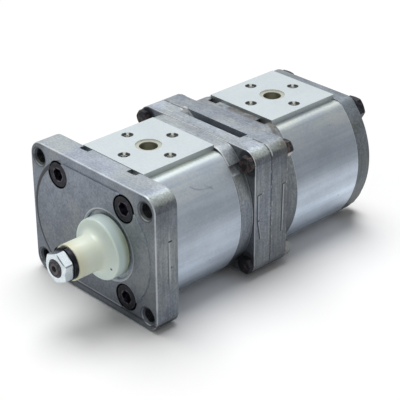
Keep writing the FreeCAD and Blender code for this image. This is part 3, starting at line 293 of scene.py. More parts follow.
CAST_LIGHT = (0.225, 0.252, 0.292)
CAST_DARK = (0.128, 0.146, 0.174)
CAST_WARM = (0.225, 0.245, 0.25)
# The bright colour is for wear and painted highlights, the dark one for grime and painted shade.
WEAR_AND_HIGHLIGHT_BRIGHT = (0.50, 0.53, 0.56)
GRIME_AND_SHADE = (0.022, 0.022, 0.026)
WARMER = (1.05, 1.03, 0.86)


def cast_skin(place, stains_and_shade, wear_and_highlight, shade=1.0, corner_dirt_and_shade_share=1.0):
    """The colour, roughness and normal of bare cast aluminium. The first mask is for grime and painted
    shade, the second for wear and painted highlights, the third number is the skin's brightness with
    painted light in it, and the last is the share of grime and painted shade in its corners. Tops are
    painted lighter, the rounded upper corners get a painted highlight and painted shade, and what faces
    down is painted dark as shade."""
    x, _, z = place.parts()
    across, _, upward = facing(place)
    cloud = place.noise(52, 4)
    grain = place.noise(760, 4)
    streaks = place.scaled((1, 1, 0.05)).noise(1000, 2)
    pits = place.specks(400, 0.12)
    tone = (cloud * 0.45 + grain * 0.55).step(0.34, 0.67)
    light = place.noise(24, 2).step(0.44, 0.58).mix(CAST_LIGHT, CAST_WARM)
    side = abs(across).step(0.6, 0.95)
    # Tops are painted lighter as light from above; the sides get light and dark streaks.
    top_light_and_streaks = upward.step(0.35, 0.85) * 0.46 + side * (streaks - 0.5)
    colour = tone.mix(CAST_DARK, light).times((top_light_and_streaks + 1) * shade)
    rounded = abs(x).step(43 * MM, 46 * MM) * z.step(20 * MM, 34 * MM)
    colour = (rounded * upward.band(0.68, 0.36)).mix(colour, colour.scaled(WARMER))
    # The rounded upper corners get a painted highlight where they face most up and painted shade where they
    # turn to the side, and what faces down is painted dark as shade.
    glint_and_shade = upward.band(0.84, 0.26) * 0.15 - upward.band(0.25, 0.34) * 0.48
    colour = colour.times((rounded * glint_and_shade + 1) * (1 - upward.step(-0.3, -0.8) * 0.5))
    # Edges and marks are painted light as wear and highlight.
    colour = (wear_and_highlight * (cloud.step(0.3, 0.6) * 0.5 + 0.5)).mix(colour, WEAR_AND_HIGHLIGHT_BRIGHT)
    # Corners and slots are darkened as grime and painted shade.
    corner_dirt_and_shade = (inner_corners(place, 1.2 * MM) * 1.6).step(0.45, 1.0) * corner_dirt_and_shade_share * 0.75
    colour = corner_dirt_and_shade.most(stains_and_shade).most(pits * 0.5).mix(colour, GRIME_AND_SHADE)
    return {
        "Base Color": colour,
        "Metallic": 0.75,
        "Roughness": grain * 0.2 + 0.36 - wear_and_highlight * 0.1,
        "Normal": (grain + cloud * 2 - pits).bump(0.06 * MM, 0.7),
    }


flange_low, flange_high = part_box("front_flange_cover")
COVER_SCREWS = [(x * 31 * MM, z * 30.5 * MM) for x in (-1, 1) for z in (-1, 1)]
MOUNT_HOLES = [(x * 50 * MM, z * 36 * MM) for x in (-1, 1) for z in (-1, 1)]
SHAFT_AXIS = [(15.5 * MM, 0)]
COUNTERBORE = 9 * MM
MOUNT_HOLE = 4.5 * MM
MOUNT_MOUTH = 6.25 * MM
RECESS_MOUTH = 23.3 * MM
LAND_STEP = 0.8 * MM
LAND_HALF = 39.6 * MM
LAND_ARC = 42 * MM
LAND_ARC_PLACE = 11.4 * MM
FLANGE_CORNER = 10 * MM
RING_STEP = 0.6 * MM
SIDE_DASH = (-6.7 * MM, 15.1 * MM)
SIDE_LINE = (-8.4 * MM, -1.5 * MM)
SIDE_DOT = (-5.9 * MM, -2.9 * MM)


def flange_finish(place):
    """Cast skin with counterbores painted black as shade, mounting holes with a dark ring and painted shade
    in them, a painted shadow along the outline of the land, painted highlights on the front edges, on the
    rim round the cap and on the land's lower edge, and a dash, a line and a dot from casting on the right
    side. The front face is painted lighter at the top and darker at the bottom, and the right wall of the
    land's step and the recess round the shaft are painted light."""
    x, y, z = place.parts()
    face = flange_low.y + LAND_STEP
    off_land = y.step(face - 0.5 * MM, face - 0.2 * MM)
    # The counterbores' walls are painted black as shade.
    shaded_bores = near(place, COVER_SCREWS, 0, 2).step(COUNTERBORE + 0.5 * MM, COUNTERBORE)
    stains_and_shade = shaded_bores * y.step(flange_low.y - 0.1 * MM, flange_low.y + 0.1 * MM)
    arcs = abs(x) - LAND_ARC_PLACE
    out = (arcs * arcs + z * z) ** 0.5 - LAND_ARC
    # A painted shadow on the lower face beside the land's step, on the left and at the bottom.
    left_step_shadow = x.step(-26 * MM, -32 * MM) * out.step(0, 0.3 * MM) * out.step(3.4 * MM, 2.4 * MM)
    low_step_shadow = z.step(-LAND_HALF, -LAND_HALF - 0.3 * MM)
    low_step_shadow = low_step_shadow * z.step(-LAND_HALF - 2.3 * MM, -LAND_HALF - 1.4 * MM)
    stains_and_shade = stains_and_shade.most((left_step_shadow * 0.85).most(low_step_shadow * 0.7) * off_land)
    from_shaft = near(place, SHAFT_AXIS, 0, 2)
    from_hole = near(place, MOUNT_HOLES, 0, 2)
    # Round each mounting hole a dark ring, and in it dark walls with lighter thread rings as painted shade.
    stains_and_shade = stains_and_shade.most(from_hole.band(MOUNT_MOUTH + 0.2 * MM, 0.5 * MM) * 0.6)
    turns = y.math("PINGPONG", y, RING_STEP) / RING_STEP
    hole = from_hole.step(MOUNT_HOLE + 0.3 * MM, MOUNT_HOLE + 0.1 * MM)
    stains_and_shade = stains_and_shade.most(hole * (0.95 - turns * 0.45))
    side = x.step(flange_high.x - 0.3 * MM, flange_high.x - 0.1 * MM)
    dash = y.band(SIDE_DASH[0], 1.9 * MM) * z.band(SIDE_DASH[1], 0.75 * MM)
    line = y.band(SIDE_LINE[0], 0.5 * MM) * z.band(SIDE_LINE[1], 20 * MM) * 0.55
    dot = near(place, [SIDE_DOT], 1, 2).step(0.9 * MM, 0.5 * MM) * 0.7
    stains_and_shade = stains_and_shade.most(dash.most(line).most(dot) * side)
    rim = outline(place, flange_high, FLANGE_CORNER)
    # Painted highlights with some wear on the rounded front edges and on the rim round the cap's recess.
    wear_and_highlight = y.step(face + 1.1 * MM, face + 0.6 * MM) * rim.step(-0.9 * MM, -0.4 * MM) * 0.8
    wear_and_highlight = wear_and_highlight.most(rim.step(-1.4 * MM, -0.4 * MM) * y.step(-0.9 * MM, -0.3 * MM) * 0.5)
    wear_and_highlight = wear_and_highlight.most(from_shaft.band(RECESS_MOUTH + 0.1 * MM, 0.8 * MM) * (1 - off_land) * 0.8)
    # The mounting holes' chamfers are painted darker as shade.
    mouth = from_hole.step(MOUNT_MOUTH - 0.5 * MM, MOUNT_MOUTH - 0.8 * MM)
    stains_and_shade = stains_and_shade.most(mouth * from_hole.step(MOUNT_HOLE, MOUNT_HOLE + 0.3 * MM) * 0.8)
    # A painted highlight on the land's lower edge, and one beside the casting line on the right side.
    wear_and_highlight = wear_and_highlight.most(z.band(-LAND_HALF + 0.3 * MM, 0.8 * MM) * (1 - off_land) * 0.5)
    wear_and_highlight = wear_and_highlight.most(y.band(SIDE_LINE[0] + 1.1 * MM, 0.8 * MM) * z.band(2 * MM, 24 * MM) * side * 0.3)
    # Painted light: the front face lighter at the top and darker at the bottom, and the right wall of the
    # land's step and the recess round the shaft lightened.
    front = facing(place)[1].step(-0.8, -0.95)
    wall = abs(out).step(0.4 * MM, 0.2 * MM) * (1 - front) * x.step(20 * MM, 30 * MM)
    recess = from_shaft.step(RECESS_MOUTH, RECESS_MOUTH - 0.3 * MM) * y.step(-8 * MM, -9 * MM)
    shade = 1 + front * (z.step(-46 * MM, 40 * MM) * 0.42 - 0.22) + wall * 1.6 + recess * 1.5
    skin = cast_skin(place, stains_and_shade, wear_and_highlight, shade, 0.0)
    skin["Metallic"] = 0.75 - recess * 0.6
    return skin


dress(material("cast_flange", flange_finish), "front_flange_cover")


# The covers in the middle and at the rear are cast of the same metal. Their tops are ground along x,
# and rust and oil from the joining bolts have crept over the corners of the plates.
PLATE_CORNER = 9 * MM
PLATE_LENGTH = 14.6 * MM
PARTING_MARKS = in_metres([
    ((75.5, 14.7), (71.9, 14.4)),
    ((71.9, 14.4), (71.7, -3.7)),
    ((73.3, -3.7), (71.8, -4.2)),
    ((71.8, -4.2), (74.1, -17.0)),
    ((96.8, 15.1), (94.2, 14.9)),
    ((94.2, 14.9), (93.6, -18.4)),
])
JOINING_BOLTS = [(x * 48 * MM, z * 36 * MM) for x in (-1, 1) for z in (-1, 1)]
RUSTY_CORNER = [(51 * MM, 99 * MM)]
WINDOW_MIDDLE = 2 * MM
WINDOW_HALF = 28 * MM
WINDOW_BEFORE_SEAM = 1.3 * MM
SLOPE_TOP = (-26 * MM, 43.5 * MM)
SLOPE_FACES = (0.567, 0.824)
SCRATCHES = in_metres([((-29.1, 86.4), (-26.2, 85.9)), ((-28.9, 83.1), (-26.2, 81.9))])
GREENER = (0.95, 1.03, 0.93)
RUST_DARK = (0.075, 0.06, 0.045)
RUST_PALE = (0.115, 0.105, 0.08)
SLOPE_LIT_GREY = (0.60, 0.67, 0.72)
SLOPE_HIGHLIGHT_WHITE = (0.95, 0.95, 0.95)


def window_slope(place, seam):
    """Masks of the leak window's sloping left end, painted light, and of its edge, a painted highlight, drawn
    on the window's walls.
    """
    x, y, z = place.parts()
    rise = (x - SLOPE_TOP[0]) * SLOPE_FACES[0] + (z - SLOPE_TOP[1]) * SLOPE_FACES[1]
    walls = x.band(SLOPE_TOP[0] + 4 * MM, 9 * MM) * y.band(seam - WINDOW_BEFORE_SEAM, 8 * MM)
    walls = walls * z.step(35 * MM, 37 * MM) * (1 - facing(place)[2].step(0.8, 0.95))
    return rise.step(0.2 * MM, -0.2 * MM) * walls, rise.band(0, 1.1 * MM) * walls


def ground_lines(place):
    """Fine light and dark lines along x, where the metal was ground, as a number round 0."""
    return place.scaled((0.03, 1, 1)).noise(2600, 2).step(0.35, 0.65) - 0.5


def cover_finish(place):
    """Cast skin with ground tops, borders painted light as wear and highlight, a dark seam between the
    plates, casting marks on the right side painted as lines of shade with painted highlights beside them,
    hollows round the bolts painted dark as shade, brown grime behind the plates and a leak window whose
    walls and sloping end are painted light. The barrels are painted darker as shade, and the rear pump
    and the end cover are darker."""
    x, y, z = place.parts()
    seam_low, seam_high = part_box("rear_mount_cover")
    front_low, front_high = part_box("front_end_cover")
    end_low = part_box("rear_end_cover")[0]
    seam = seam_low.y
    upward = facing(place)[2]
    fine = place.noise(420, 3)
    plate_front = seam - PLATE_LENGTH
    plate_rear = seam + PLATE_LENGTH
    rim = outline(place, front_high, PLATE_CORNER)
    border = rim.step(-0.7 * MM, -0.4 * MM)
    window = abs(x - WINDOW_MIDDLE).step(WINDOW_HALF + 0.6 * MM, WINDOW_HALF + 0.2 * MM)
    window = window * y.band(seam - WINDOW_BEFORE_SEAM, 4.6 * MM)
    window = window * z.step(seam_high.z - 0.1 * MM, seam_high.z - 0.3 * MM)
    stains_and_shade = y.band(seam, 0.8 * MM) * border * fine.step(0.3, 0.5) * 0.75
    stains_and_shade = stains_and_shade.most(y.band(front_low.y, 0.4 * MM) * 0.6)
    side = x.step(seam_high.x - 0.3 * MM, seam_high.x - 0.1 * MM)
    # The casting marks on the right side are painted as dark lines of shade.
    stains_and_shade = stains_and_shade.most(strokes(place, 1, 2, PARTING_MARKS, 0.75 * MM) * side * 0.85)
    # The hollows round the joining bolts, in front of the plates, are painted dark as shade.
    shaded_scallop = near(place, JOINING_BOLTS, 0, 2).step(10 * MM, 8 * MM) * upward.step(0.5, 0.1)
    stains_and_shade = stains_and_shade.most(shaded_scallop * y.step(plate_front + 0.5 * MM, plate_front) * 0.6)
    # The plates' borders and rounded upper corners are painted light as wear and highlight.
    wear_and_highlight = y.band(plate_front, 0.8 * MM) * border * 0.85
    wear_and_highlight = wear_and_highlight.most(y.band(plate_rear, 0.9 * MM) * border * fine.step(0.45, 0.6) * 0.3)
    rounded = upward.step(0.2, 0.4) * upward.step(0.98, 0.9) * x.step(40 * MM, 46 * MM)
    wear_and_highlight = wear_and_highlight.most(y.band(seam + 0.9 * MM, 0.8 * MM) * border * (fine.step(0.52, 0.62) * 0.3).most(rounded))
    # Painted highlights at the top of the joint with the body, in the inner corner in front of the plates,
    # beside the casting marks and on the leak window's sloping floor; the two lines on top are scratches.
    wear_and_highlight = wear_and_highlight.most(y.band(front_low.y + 0.8 * MM, 0.7 * MM) * z.step(24 * MM, 34 * MM) * 0.8)
    wear_and_highlight = wear_and_highlight.most(y.band(plate_front - 0.8 * MM, 0.7 * MM) * (1 - border) * 0.45)
    beside = [tuple((along + 0.9 * MM, height) for along, height in mark) for mark in PARTING_MARKS]
    wear_and_highlight = wear_and_highlight.most(strokes(place, 1, 2, beside, 0.7 * MM) * side * 0.5)
    wear_and_highlight = wear_and_highlight.most(window * upward.step(0.25, 0.5) * x.step(-9 * MM, -12 * MM))
    wear_and_highlight = wear_and_highlight.most(strokes(place, 0, 1, SCRATCHES, 0.9 * MM) * z.step(43 * MM, 44 * MM))
    # The barrels are painted darker as shade, the rear pump and the end cover are darker, and the leak
    # window's walls are painted light.
    barrels = y.band(seam, 26 * MM) * (1 - y.band(seam, 16 * MM))
    rear_pump = y.step(seam, seam + 1 * MM)
    end_cover = y.step(end_low.y - 2 * MM, end_low.y + 0.5 * MM)
    shade = 1.05 - rear_pump * 0.2 - barrels * 0.18 - end_cover * 0.22 + window * 1.6
    skin = cast_skin(place, stains_and_shade, wear_and_highlight, shade, 1 - window)
    colour = skin["Base Color"].times(upward.step(0.85, 0.97) * ground_lines(place) * 0.35 + 1)
    colour = (end_cover * 0.3).mix(colour, colour.scaled(GREENER))
    by_pad = y.band(seam_high.y - 1 * MM, 6 * MM) * z.step(39 * MM, 41.5 * MM)
    by_nut = near(place, RUSTY_CORNER, 0, 1).step(11 * MM, 4 * MM) * z.band(39 * MM, 5.5 * MM)
    rust = (by_pad * place.noise(170, 3).step(0.36, 0.56)).most(by_nut * fine.step(0.4, 0.6))
    colour = (rust * 0.75).mix(colour, fine.step(0.4, 0.62).mix(RUST_DARK, RUST_PALE))
    # The leak window's sloping left end is painted light, with a painted highlight along its edge.
    painted_lit_slope, painted_slope_highlight = window_slope(place, seam)
    skin["Base Color"] = painted_slope_highlight.mix(painted_lit_slope.mix(colour, SLOPE_LIT_GREY), SLOPE_HIGHLIGHT_WHITE)
    skin["Metallic"] = 0.75 - painted_lit_slope.most(painted_slope_highlight) * 0.7
    return skin


dress(material("cast_covers", cover_finish), "front_end_cover", "rear_mount_cover", "rear_end_cover")


# The two pump bodies are sawn from one extruded bar: bright sides with long drawing lines, port pads
# milled nearly white, and pressure ports whose seats are a dull olive. The mouths of the screw holes
# are painted dark on two sides as shade, with a painted highlight between.
BODY_BRIGHT = (0.315, 0.355, 0.41)
BODY_SHADE = (0.245, 0.28, 0.325)
BODY_UPPER = (0.345, 0.37, 0.36)
PAD_WHITE = (0.46, 0.51, 0.53)
PAD_GREY = (0.42, 0.465, 0.485)
CROWN_TINT = (1.0, 0.99, 0.88)
STEP_GREY = (0.38, 0.415, 0.42)
PORT_OLIVE = (0.36, 0.37, 0.315)
PORT_BORE = (0.50, 0.50, 0.38)
PORT_SHADE = (0.16, 0.16, 0.11)
PORT_WALL_LIT = (0.95, 0.94, 0.85)
TAPPED_SHADE = (0.012, 0.014, 0.015)
TAPPED_HIGHLIGHT = (0.66, 0.68, 0.63)
NICK_GREY = (0.13, 0.14, 0.16)
EDGE_BRIGHT = (0.6, 0.64, 0.66)
SCUFFS = in_metres([
    ((25.3, 33.4), (27.4, 31.7)),
    ((27.4, 31.7), (29.8, 30.6)),
    ((29.8, 30.6), (34.5, 29.4)),
    ((34.5, 29.4), (40.4, 29.0)),
    ((36.1, 31.1), (40.7, 27.9)),
])
BETWEEN_BODIES = 100 * MM
PAD_HALF = 28.3 * MM
PAD_STEP = 3.8 * MM
SEAT_DEPTH = 2 * MM
SEAT_RADIUS = 8.5 * MM
PORT_RADIUS = 6 * MM
PORT_CIRCLE = 20 * MM
TAPPED_MOUTH = 3.9 * MM
SHADE_ASIDE = 2.2 * MM


def screw_places(middles):
    """The port screws stand in front of, behind and on both sides of the port."""
    ways = ((1, 0), (-1, 0), (0, 1), (0, -1))
    return [(x * PORT_CIRCLE, middle + y * PORT_CIRCLE) for middle in middles for x, y in ways]


def shaded_places(middles):
    """Spots on two sides of each port screw's hole, to the camera's left and right, where its rim is painted
    dark as shade.
    """
    aside = camera_side * SHADE_ASIDE
    return [(x + way * aside.x, y + way * aside.y) for x, y in screw_places(middles) for way in (-1, 1)]


def turned_aside(place):
    """How far the surface faces to the camera's left or right, from 0 to 1."""
    across, along, _ = facing(place)
    return abs(across * camera_side.x + along * camera_side.y)


def ports_on(place, colour, milled, middles, top):
    """The colour with the seats and bores of the ports and the mouths of the screw holes drawn over it,
    with painted light on the seats' walls and painted shade at the sides of the bores and mouths, and a
    mask of the bores, mouths and rings painted there."""
    z = place.parts()[2]
    aside = turned_aside(place)
    away = near(place, [(0, middle) for middle in middles], 0, 1)
    seat_floor = top - SEAT_DEPTH
    seat = away.step(SEAT_RADIUS + 0.2 * MM, SEAT_RADIUS - 0.1 * MM) * (1 - milled)
    # The seat's wall is painted near white as painted light.
    lit_seat_wall = seat * z.step(seat_floor + 0.5 * MM, seat_floor + 1 * MM)
    lit_seat_wall = lit_seat_wall * facing(place)[2].step(0.5, 0.3)
    seat = seat * z.step(seat_floor - 1 * MM, seat_floor - 0.5 * MM)
    bore = away.step(PORT_RADIUS + 0.15 * MM, PORT_RADIUS) * z.step(10 * MM, 14 * MM)
    bore = bore * z.step(seat_floor + 0.1 * MM, seat_floor - 0.3 * MM)
    rings = away.band(7.0 * MM, 0.5 * MM) * 0.5 + away.band(8.3 * MM, 0.4 * MM) * 0.7
    colour = seat.mix(colour, (rings * 0.7).mix(PORT_OLIVE, STEP_GREY))
    colour = lit_seat_wall.mix(colour, PORT_WALL_LIT)
    # The bore is painted darker where it turns to the camera's left and right, as painted shade.
    colour = bore.mix(colour, aside.step(0.2, 0.9).mix(PORT_BORE, PORT_SHADE))
    from_screw = near(place, screw_places(middles), 0, 1)
    # Each screw hole's mouth is painted dark at the sides as shade, with a painted highlight between.
    mouth = from_screw.step(TAPPED_MOUTH + 0.05 * MM, TAPPED_MOUTH - 0.05 * MM) * (1 - milled)
    colour = mouth.mix(colour, aside.step(0.28, 0.1).mix(TAPPED_SHADE, TAPPED_HIGHLIGHT))
    # A ring on the pad round each mouth is painted dark as shade at two spots.
    ring = from_screw.step(TAPPED_MOUTH + 0.1 * MM, TAPPED_MOUTH - 0.1 * MM) * milled * z.step(0, 1 * MM)
    ring = ring * near(place, shaded_places(middles), 0, 1).step(2.6 * MM, 2.1 * MM)
    return ring.mix(colour, TAPPED_SHADE), bore.most(mouth).most(ring)


def body_finish(place):
    """Drawn sides with nicks and one scuff, sharp edges painted light as wear and highlight, milled pads
    and the pads' low steps, by the place on the body. The sides are painted lighter low down, near the top
    and where they face up, and dark as shade where they face down, and the pads underneath are painted
    darker as shade. The rear body's sides are a little darker."""
    x, y, z = place.parts()
    middles = [sum(corner.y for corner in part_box(name)) / 2 for name in ("front_body", "rear_body")]
    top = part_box("front_body")[1].z
    drawn = place.scaled((1, 0.02, 1)).noise(1300, 3)
    wide = place.scaled((1, 0.04, 1)).noise(180, 2)
    cloud = place.noise(40, 3)
    grain = place.noise(650, 3)
    tone = (drawn * 0.15 + wide * 0.35 + cloud * 0.3 + grain * 0.2).step(0.38, 0.62)
    # Painted light: the sides lighter low down, near the top and where they face up, and painted dark as
    # shade where they face down.
    lower = z.step(16 * MM, -4 * MM) * 0.64 + z.step(-4 * MM, -16 * MM) * 0.55
    upper = z.step(20 * MM, 38 * MM)
    rear = y.step(BETWEEN_BODIES - 10 * MM, BETWEEN_BODIES + 10 * MM)
    upward = facing(place)[2]
    bright = lower + upper * 0.32 + upward.step(0.5, 0.9) * 0.24 - upward.step(-0.3, -0.65) * 0.85
    bright = bright - rear * (z.step(-4 * MM, 14 * MM) * 0.24 + upper * 0.14 - 0.05)
    colour = tone.mix(BODY_SHADE, upper.mix(BODY_BRIGHT, BODY_UPPER)).times(bright + 0.95)
    colour = (upward.step(0.75, 0.95) * (1 - rear * 0.7)).mix(colour, colour.scaled(CROWN_TINT))
    scuff = strokes(place, 1, 2, SCUFFS, 0.6 * MM) * x.step(30 * MM, 33 * MM) * cloud.step(0.3, 0.5)
    nicks = place.specks(240, 0.05, 0.2).most(scuff)
    colour = (nicks * 0.5).mix(colour, NICK_GREY)
    # Sharp edges are painted light as wear and highlight.
    edges = (outer_edges(place, 1.0 * MM) * 1.8).step(0.45, 1.0)
    colour = (edges * 0.5).mix(colour, EDGE_BRIGHT)
    milled = abs(z).step(top - 0.15 * MM, top - 0.05 * MM)
    pad_wall = abs(z).step(top - PAD_STEP - 0.1 * MM, top - PAD_STEP + 0.1 * MM) * (1 - milled)
    pad_wall = pad_wall * abs(x).step(PAD_HALF + 0.1 * MM, PAD_HALF)
    colour = (pad_wall * 0.8).mix(colour, STEP_GREY)
    swirls = place.scaled((0.1, 1, 1)).noise(2400, 1)
    pad = (swirls * 0.4 + cloud * 0.3 + grain * 0.3).step(0.36, 0.62).mix(PAD_GREY, PAD_WHITE)
    # The milled pads underneath are painted darker as shade.
    colour = milled.mix(colour, pad.times(1 - z.step(0, -1 * MM) * 0.6))
    colour, painted_port_marks = ports_on(place, colour, milled, middles, top)
    height = drawn * (1 - milled) + cloud * 0.8 + swirls * milled * 0.4
    return {
        "Base Color": colour,
        "Metallic": 0.8 - painted_port_marks * 0.7,
        "Roughness": 0.39 + drawn * 0.1 - milled * 0.01,
        "Normal": height.bump(0.03 * MM, 0.7),
    }


dress(material("extruded_body", body_finish), "front_body", "rear_body")


# The screws of the port flanges go into threaded holes, M6 with a pitch of 1 mm. Each thread is a
# sleeve that lines its drilled hole: the cut helix inside and a plain wall outside.
THREAD_PITCH = 1.0 * MM
THREAD_CREST = 2.18 * MM
THREAD_ROOT = 2.485 * MM
THREAD_DEPTH = 11.5 * MM
THREAD_START = 1.35 * MM
THREAD_COLUMNS = 28
ROWS_PER_PITCH = 6
CUT_DULL = (0.72, 0.74, 0.69)
CUT_BRIGHT = (0.93, 0.95, 0.89)
THREAD_SHADE = (0.03, 0.03, 0.03)


def thread_sleeve(centre, outward):
    """Grid of a threaded sleeve that goes in from the pad. The radius is a triangle wave of depth less
    turn, from crest to root, on the way in, and just past the root on the way out."""
    turn = np.linspace(0, 2 * np.pi, THREAD_COLUMNS, endpoint=False)[None, :]
    rows = int(THREAD_DEPTH / THREAD_PITCH * ROWS_PER_PITCH)
    depth = np.linspace(0, THREAD_DEPTH, rows)[:, None]
    phase = np.mod(depth / THREAD_PITCH - turn / (2 * np.pi), 1)
    inner = THREAD_CREST + (THREAD_ROOT - THREAD_CREST) * np.abs(2 * phase - 1)
    outer = np.full((2, THREAD_COLUMNS), THREAD_ROOT + 0.01 * MM)
    radius = np.vstack([inner, outer])
    depth = np.vstack([depth, [[THREAD_DEPTH], [0]]])
    x = centre[0] + radius * np.cos(turn)
    y = centre[1] + radius * np.sin(turn)
    z = centre[2] - outward * (THREAD_START + depth) + radius * 0
    return np.stack([x, y, z], axis=2)


def closed_ring(grid):
    """Quads of a grid that closes on itself both ways."""
    rows, columns = grid.shape[:2]
    row, column = np.meshgrid(np.arange(rows), np.arange(columns), indexing="ij")
    here = row * columns
    below = (row + 1) % rows * columns
    beside = (column + 1) % columns
    quads = [here + column, here + beside, below + beside, below + column]
    return np.stack(quads, axis=2).reshape(-1, 4)


def outward_quads(points, quads):
    """The quads, all turned round if the closed shape they make has a volume below zero."""
    a, b, c, d = (points[quads[:, corner]] for corner in range(4))
    volume = np.einsum("ij,ij->i", a, np.cross(b, c) + np.cross(c, d)).sum()
    return quads if volume > 0 else quads[:, ::-1]


def grids_to_piece(name, grids, made):
    """One smooth piece of the housing from several closed grids."""
    points = []
    quads = []
    count = 0
    for grid in grids:
        flat = grid.reshape(-1, 3)
        quads.extend((outward_quads(flat - flat.mean(0), closed_ring(grid)) + count).tolist())
        points.extend(flat.tolist())
        count += len(flat)
    mesh = bpy.data.meshes.new(name)
    mesh.from_pydata(points, [], quads)
    mesh.polygons.foreach_set("use_smooth", [True] * len(quads))
    mesh.materials.append(made)
    mesh.validate()
    piece = bpy.data.objects.new(name, mesh)
    bpy.context.scene.collection.objects.link(piece)
    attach(piece, "housing")


def port_threads(body, made):
    """The threads of a body's eight port screw holes, four above and four below."""
    low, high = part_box(body)
    sleeves = [
        thread_sleeve((x, y, side * high.z), side)
        for side in (-1, 1)
        for x, y in screw_places([(low.y + high.y) / 2])
    ]
    grids_to_piece(body.replace("body", "port_threads"), sleeves, made)


def thread_finish(place):
    """Freshly cut aluminium, painted dark as shade where it turns to the camera's left and right."""
    cloud = place.noise(900, 2)
    cut = cloud.step(0.35, 0.65).mix(CUT_DULL, CUT_BRIGHT)
    return {
        "Base Color": turned_aside(place).step(0.35, 0.75).mix(cut, THREAD_SHADE),
        "Metallic": 0.4,
        "Roughness": cloud * 0.15 + 0.25,
    }


tapped_aluminium = material("tapped_aluminium", thread_finish)
port_threads("front_body", tapped_aluminium)
port_threads("rear_body", tapped_aluminium)


# The long screws of both pumps are black oxide steel, a little grey where a key or spanner has rubbed
# and in the sockets of the front ones.
SOCKET_RADIUS = 4.6 * MM
OXIDE_BLACK = (0.010, 0.010, 0.014)
OXIDE_GREY = (0.030, 0.031, 0.038)
OXIDE_RUBBED = (0.12, 0.12, 0.13)
SOCKET_DARK = (0.035, 0.030, 0.045)
SOCKET_PALE = (0.11, 0.10, 0.13)


def black_steel_finish(place):
    """Blackened steel, greyer on its edges and in the front screws' sockets."""
    cloud = place.noise(380, 3)
    wear_and_highlight = (outer_edges(place, 0.7 * MM) * 1.8 * (cloud + 0.5)).step(0.5, 1.2)
    colour = cloud.step(0.35, 0.7).mix(OXIDE_BLACK, OXIDE_GREY)
    socket = near(place, COVER_SCREWS, 0, 2).step(SOCKET_RADIUS + 0.3 * MM, SOCKET_RADIUS)
    socket = socket * place.parts()[1].step(0, -1 * MM)
    colour = (socket * 0.9).mix(colour, cloud.step(0.4, 0.6).mix(SOCKET_DARK, SOCKET_PALE))
    return {
        "Base Color": (wear_and_highlight * 0.5).mix(colour, OXIDE_RUBBED),
        "Metallic": 0.95,
        "Roughness": cloud * 0.2 + 0.32,
        "Normal": place.noise(2200, 2).bump(0.02 * MM, 0.5),
    }


black_steel = material("black_steel", black_steel_finish)
dress(black_steel, "front_cover_screws", "rear_cover_bolts", "rear_cover_washers")


# The bolts and nuts that join the two pumps have lost their coating and are brown with rust. Only the
# lower nuts and the undersides of the upper ones still have some zinc.
NUTS_FRONT = 98.5 * MM
FLAKE_DARK = (0.030, 0.020, 0.018)
FLAKE_BROWN = (0.095, 0.058, 0.048)
BARE_STEEL = (0.014, 0.015, 0.020)
OLD_ZINC = (0.48, 0.50, 0.48)


def rusty_finish(place):
    """Dark steel under patches of brown rust, fewer on the lower bolts. Zinc is left on the lower
    nuts and under the upper ones."""
    _, y, z = place.parts()
    patches = place.noise(330, 4)
    flakes = place.noise(1700, 3)
    upper = z.step(-20 * MM, 20 * MM)
    rust = flakes.step(0.4, 0.66).mix(FLAKE_DARK, FLAKE_BROWN)
    rusted = (patches + upper * 0.08).step(0.57, 0.69)
    colour = rusted.mix(BARE_STEEL, rust)
    zinc = z.step(35 * MM, 34 * MM) * (z.step(-36 * MM, 0) * 0.5 + 0.5)
    zinc = zinc * y.step(NUTS_FRONT - 1.5 * MM, NUTS_FRONT)
    return {
        "Base Color": zinc.mix(colour, OLD_ZINC),
        "Metallic": 0.6 - rusted * 0.5,
        "Roughness": flakes * 0.25 + 0.5,
        "Normal": (flakes + patches).bump(0.12 * MM, 0.9),
    }


dress(material("rusty_steel", rusty_finish), "joining_bolts", "joining_nuts")


# The end of the drive shaft is dark ground steel with a centre hole. Its nut is bright zinc, bluish
# white, and the split washer under it is black spring steel.
DARK_FROM = -50 * MM
SHAFT_DEEP = (0.36, 0.355, 0.35)
SHAFT_PALE = (0.46, 0.45, 0.44)
SHAFT_BLACK = (0.028, 0.026, 0.030)
SHAFT_RING = (0.115, 0.108, 0.115)


def shaft_finish(place):
    """Ground steel; the end that stands out of the nut is dark, with two lighter rings."""
    ground = place.scaled((1, 0.2, 1)).noise(1500, 2)
    tip = place.parts()[1].step(DARK_FROM, DARK_FROM - 4 * MM)
    steel = ground.step(0.35, 0.65).mix(SHAFT_DEEP, SHAFT_PALE)
    away = near(place, SHAFT_AXIS, 0, 2)
    rings = away.band(2.9 * MM, 1.1 * MM) + away.band(5.2 * MM, 0.7 * MM) * 0.6
    dark = (rings * place.noise(700, 3).step(0.25, 0.6)).mix(SHAFT_BLACK, SHAFT_RING)
    return {
        "Base Color": tip.mix(steel, dark),
        "Metallic": 0.9,
        "Roughness": ground * 0.12 + 0.28 + tip * 0.12,
        "Normal": ground.bump(0.01 * MM, 0.4),
    }


HALF_FLAT = math.radians(30)
NUT_TURN = math.radians(24)
NUT_HALF = 9 * MM
ZINC_PALE = (0.78, 0.85, 0.88)
ZINC_DEEP = (0.62, 0.70, 0.76)
ZINC_HALF_LIT = (0.45, 0.53, 0.57)
ZINC_SHADED = (0.14, 0.16, 0.19)
ZINC_EDGE_SHADE = (0.10, 0.12, 0.14)


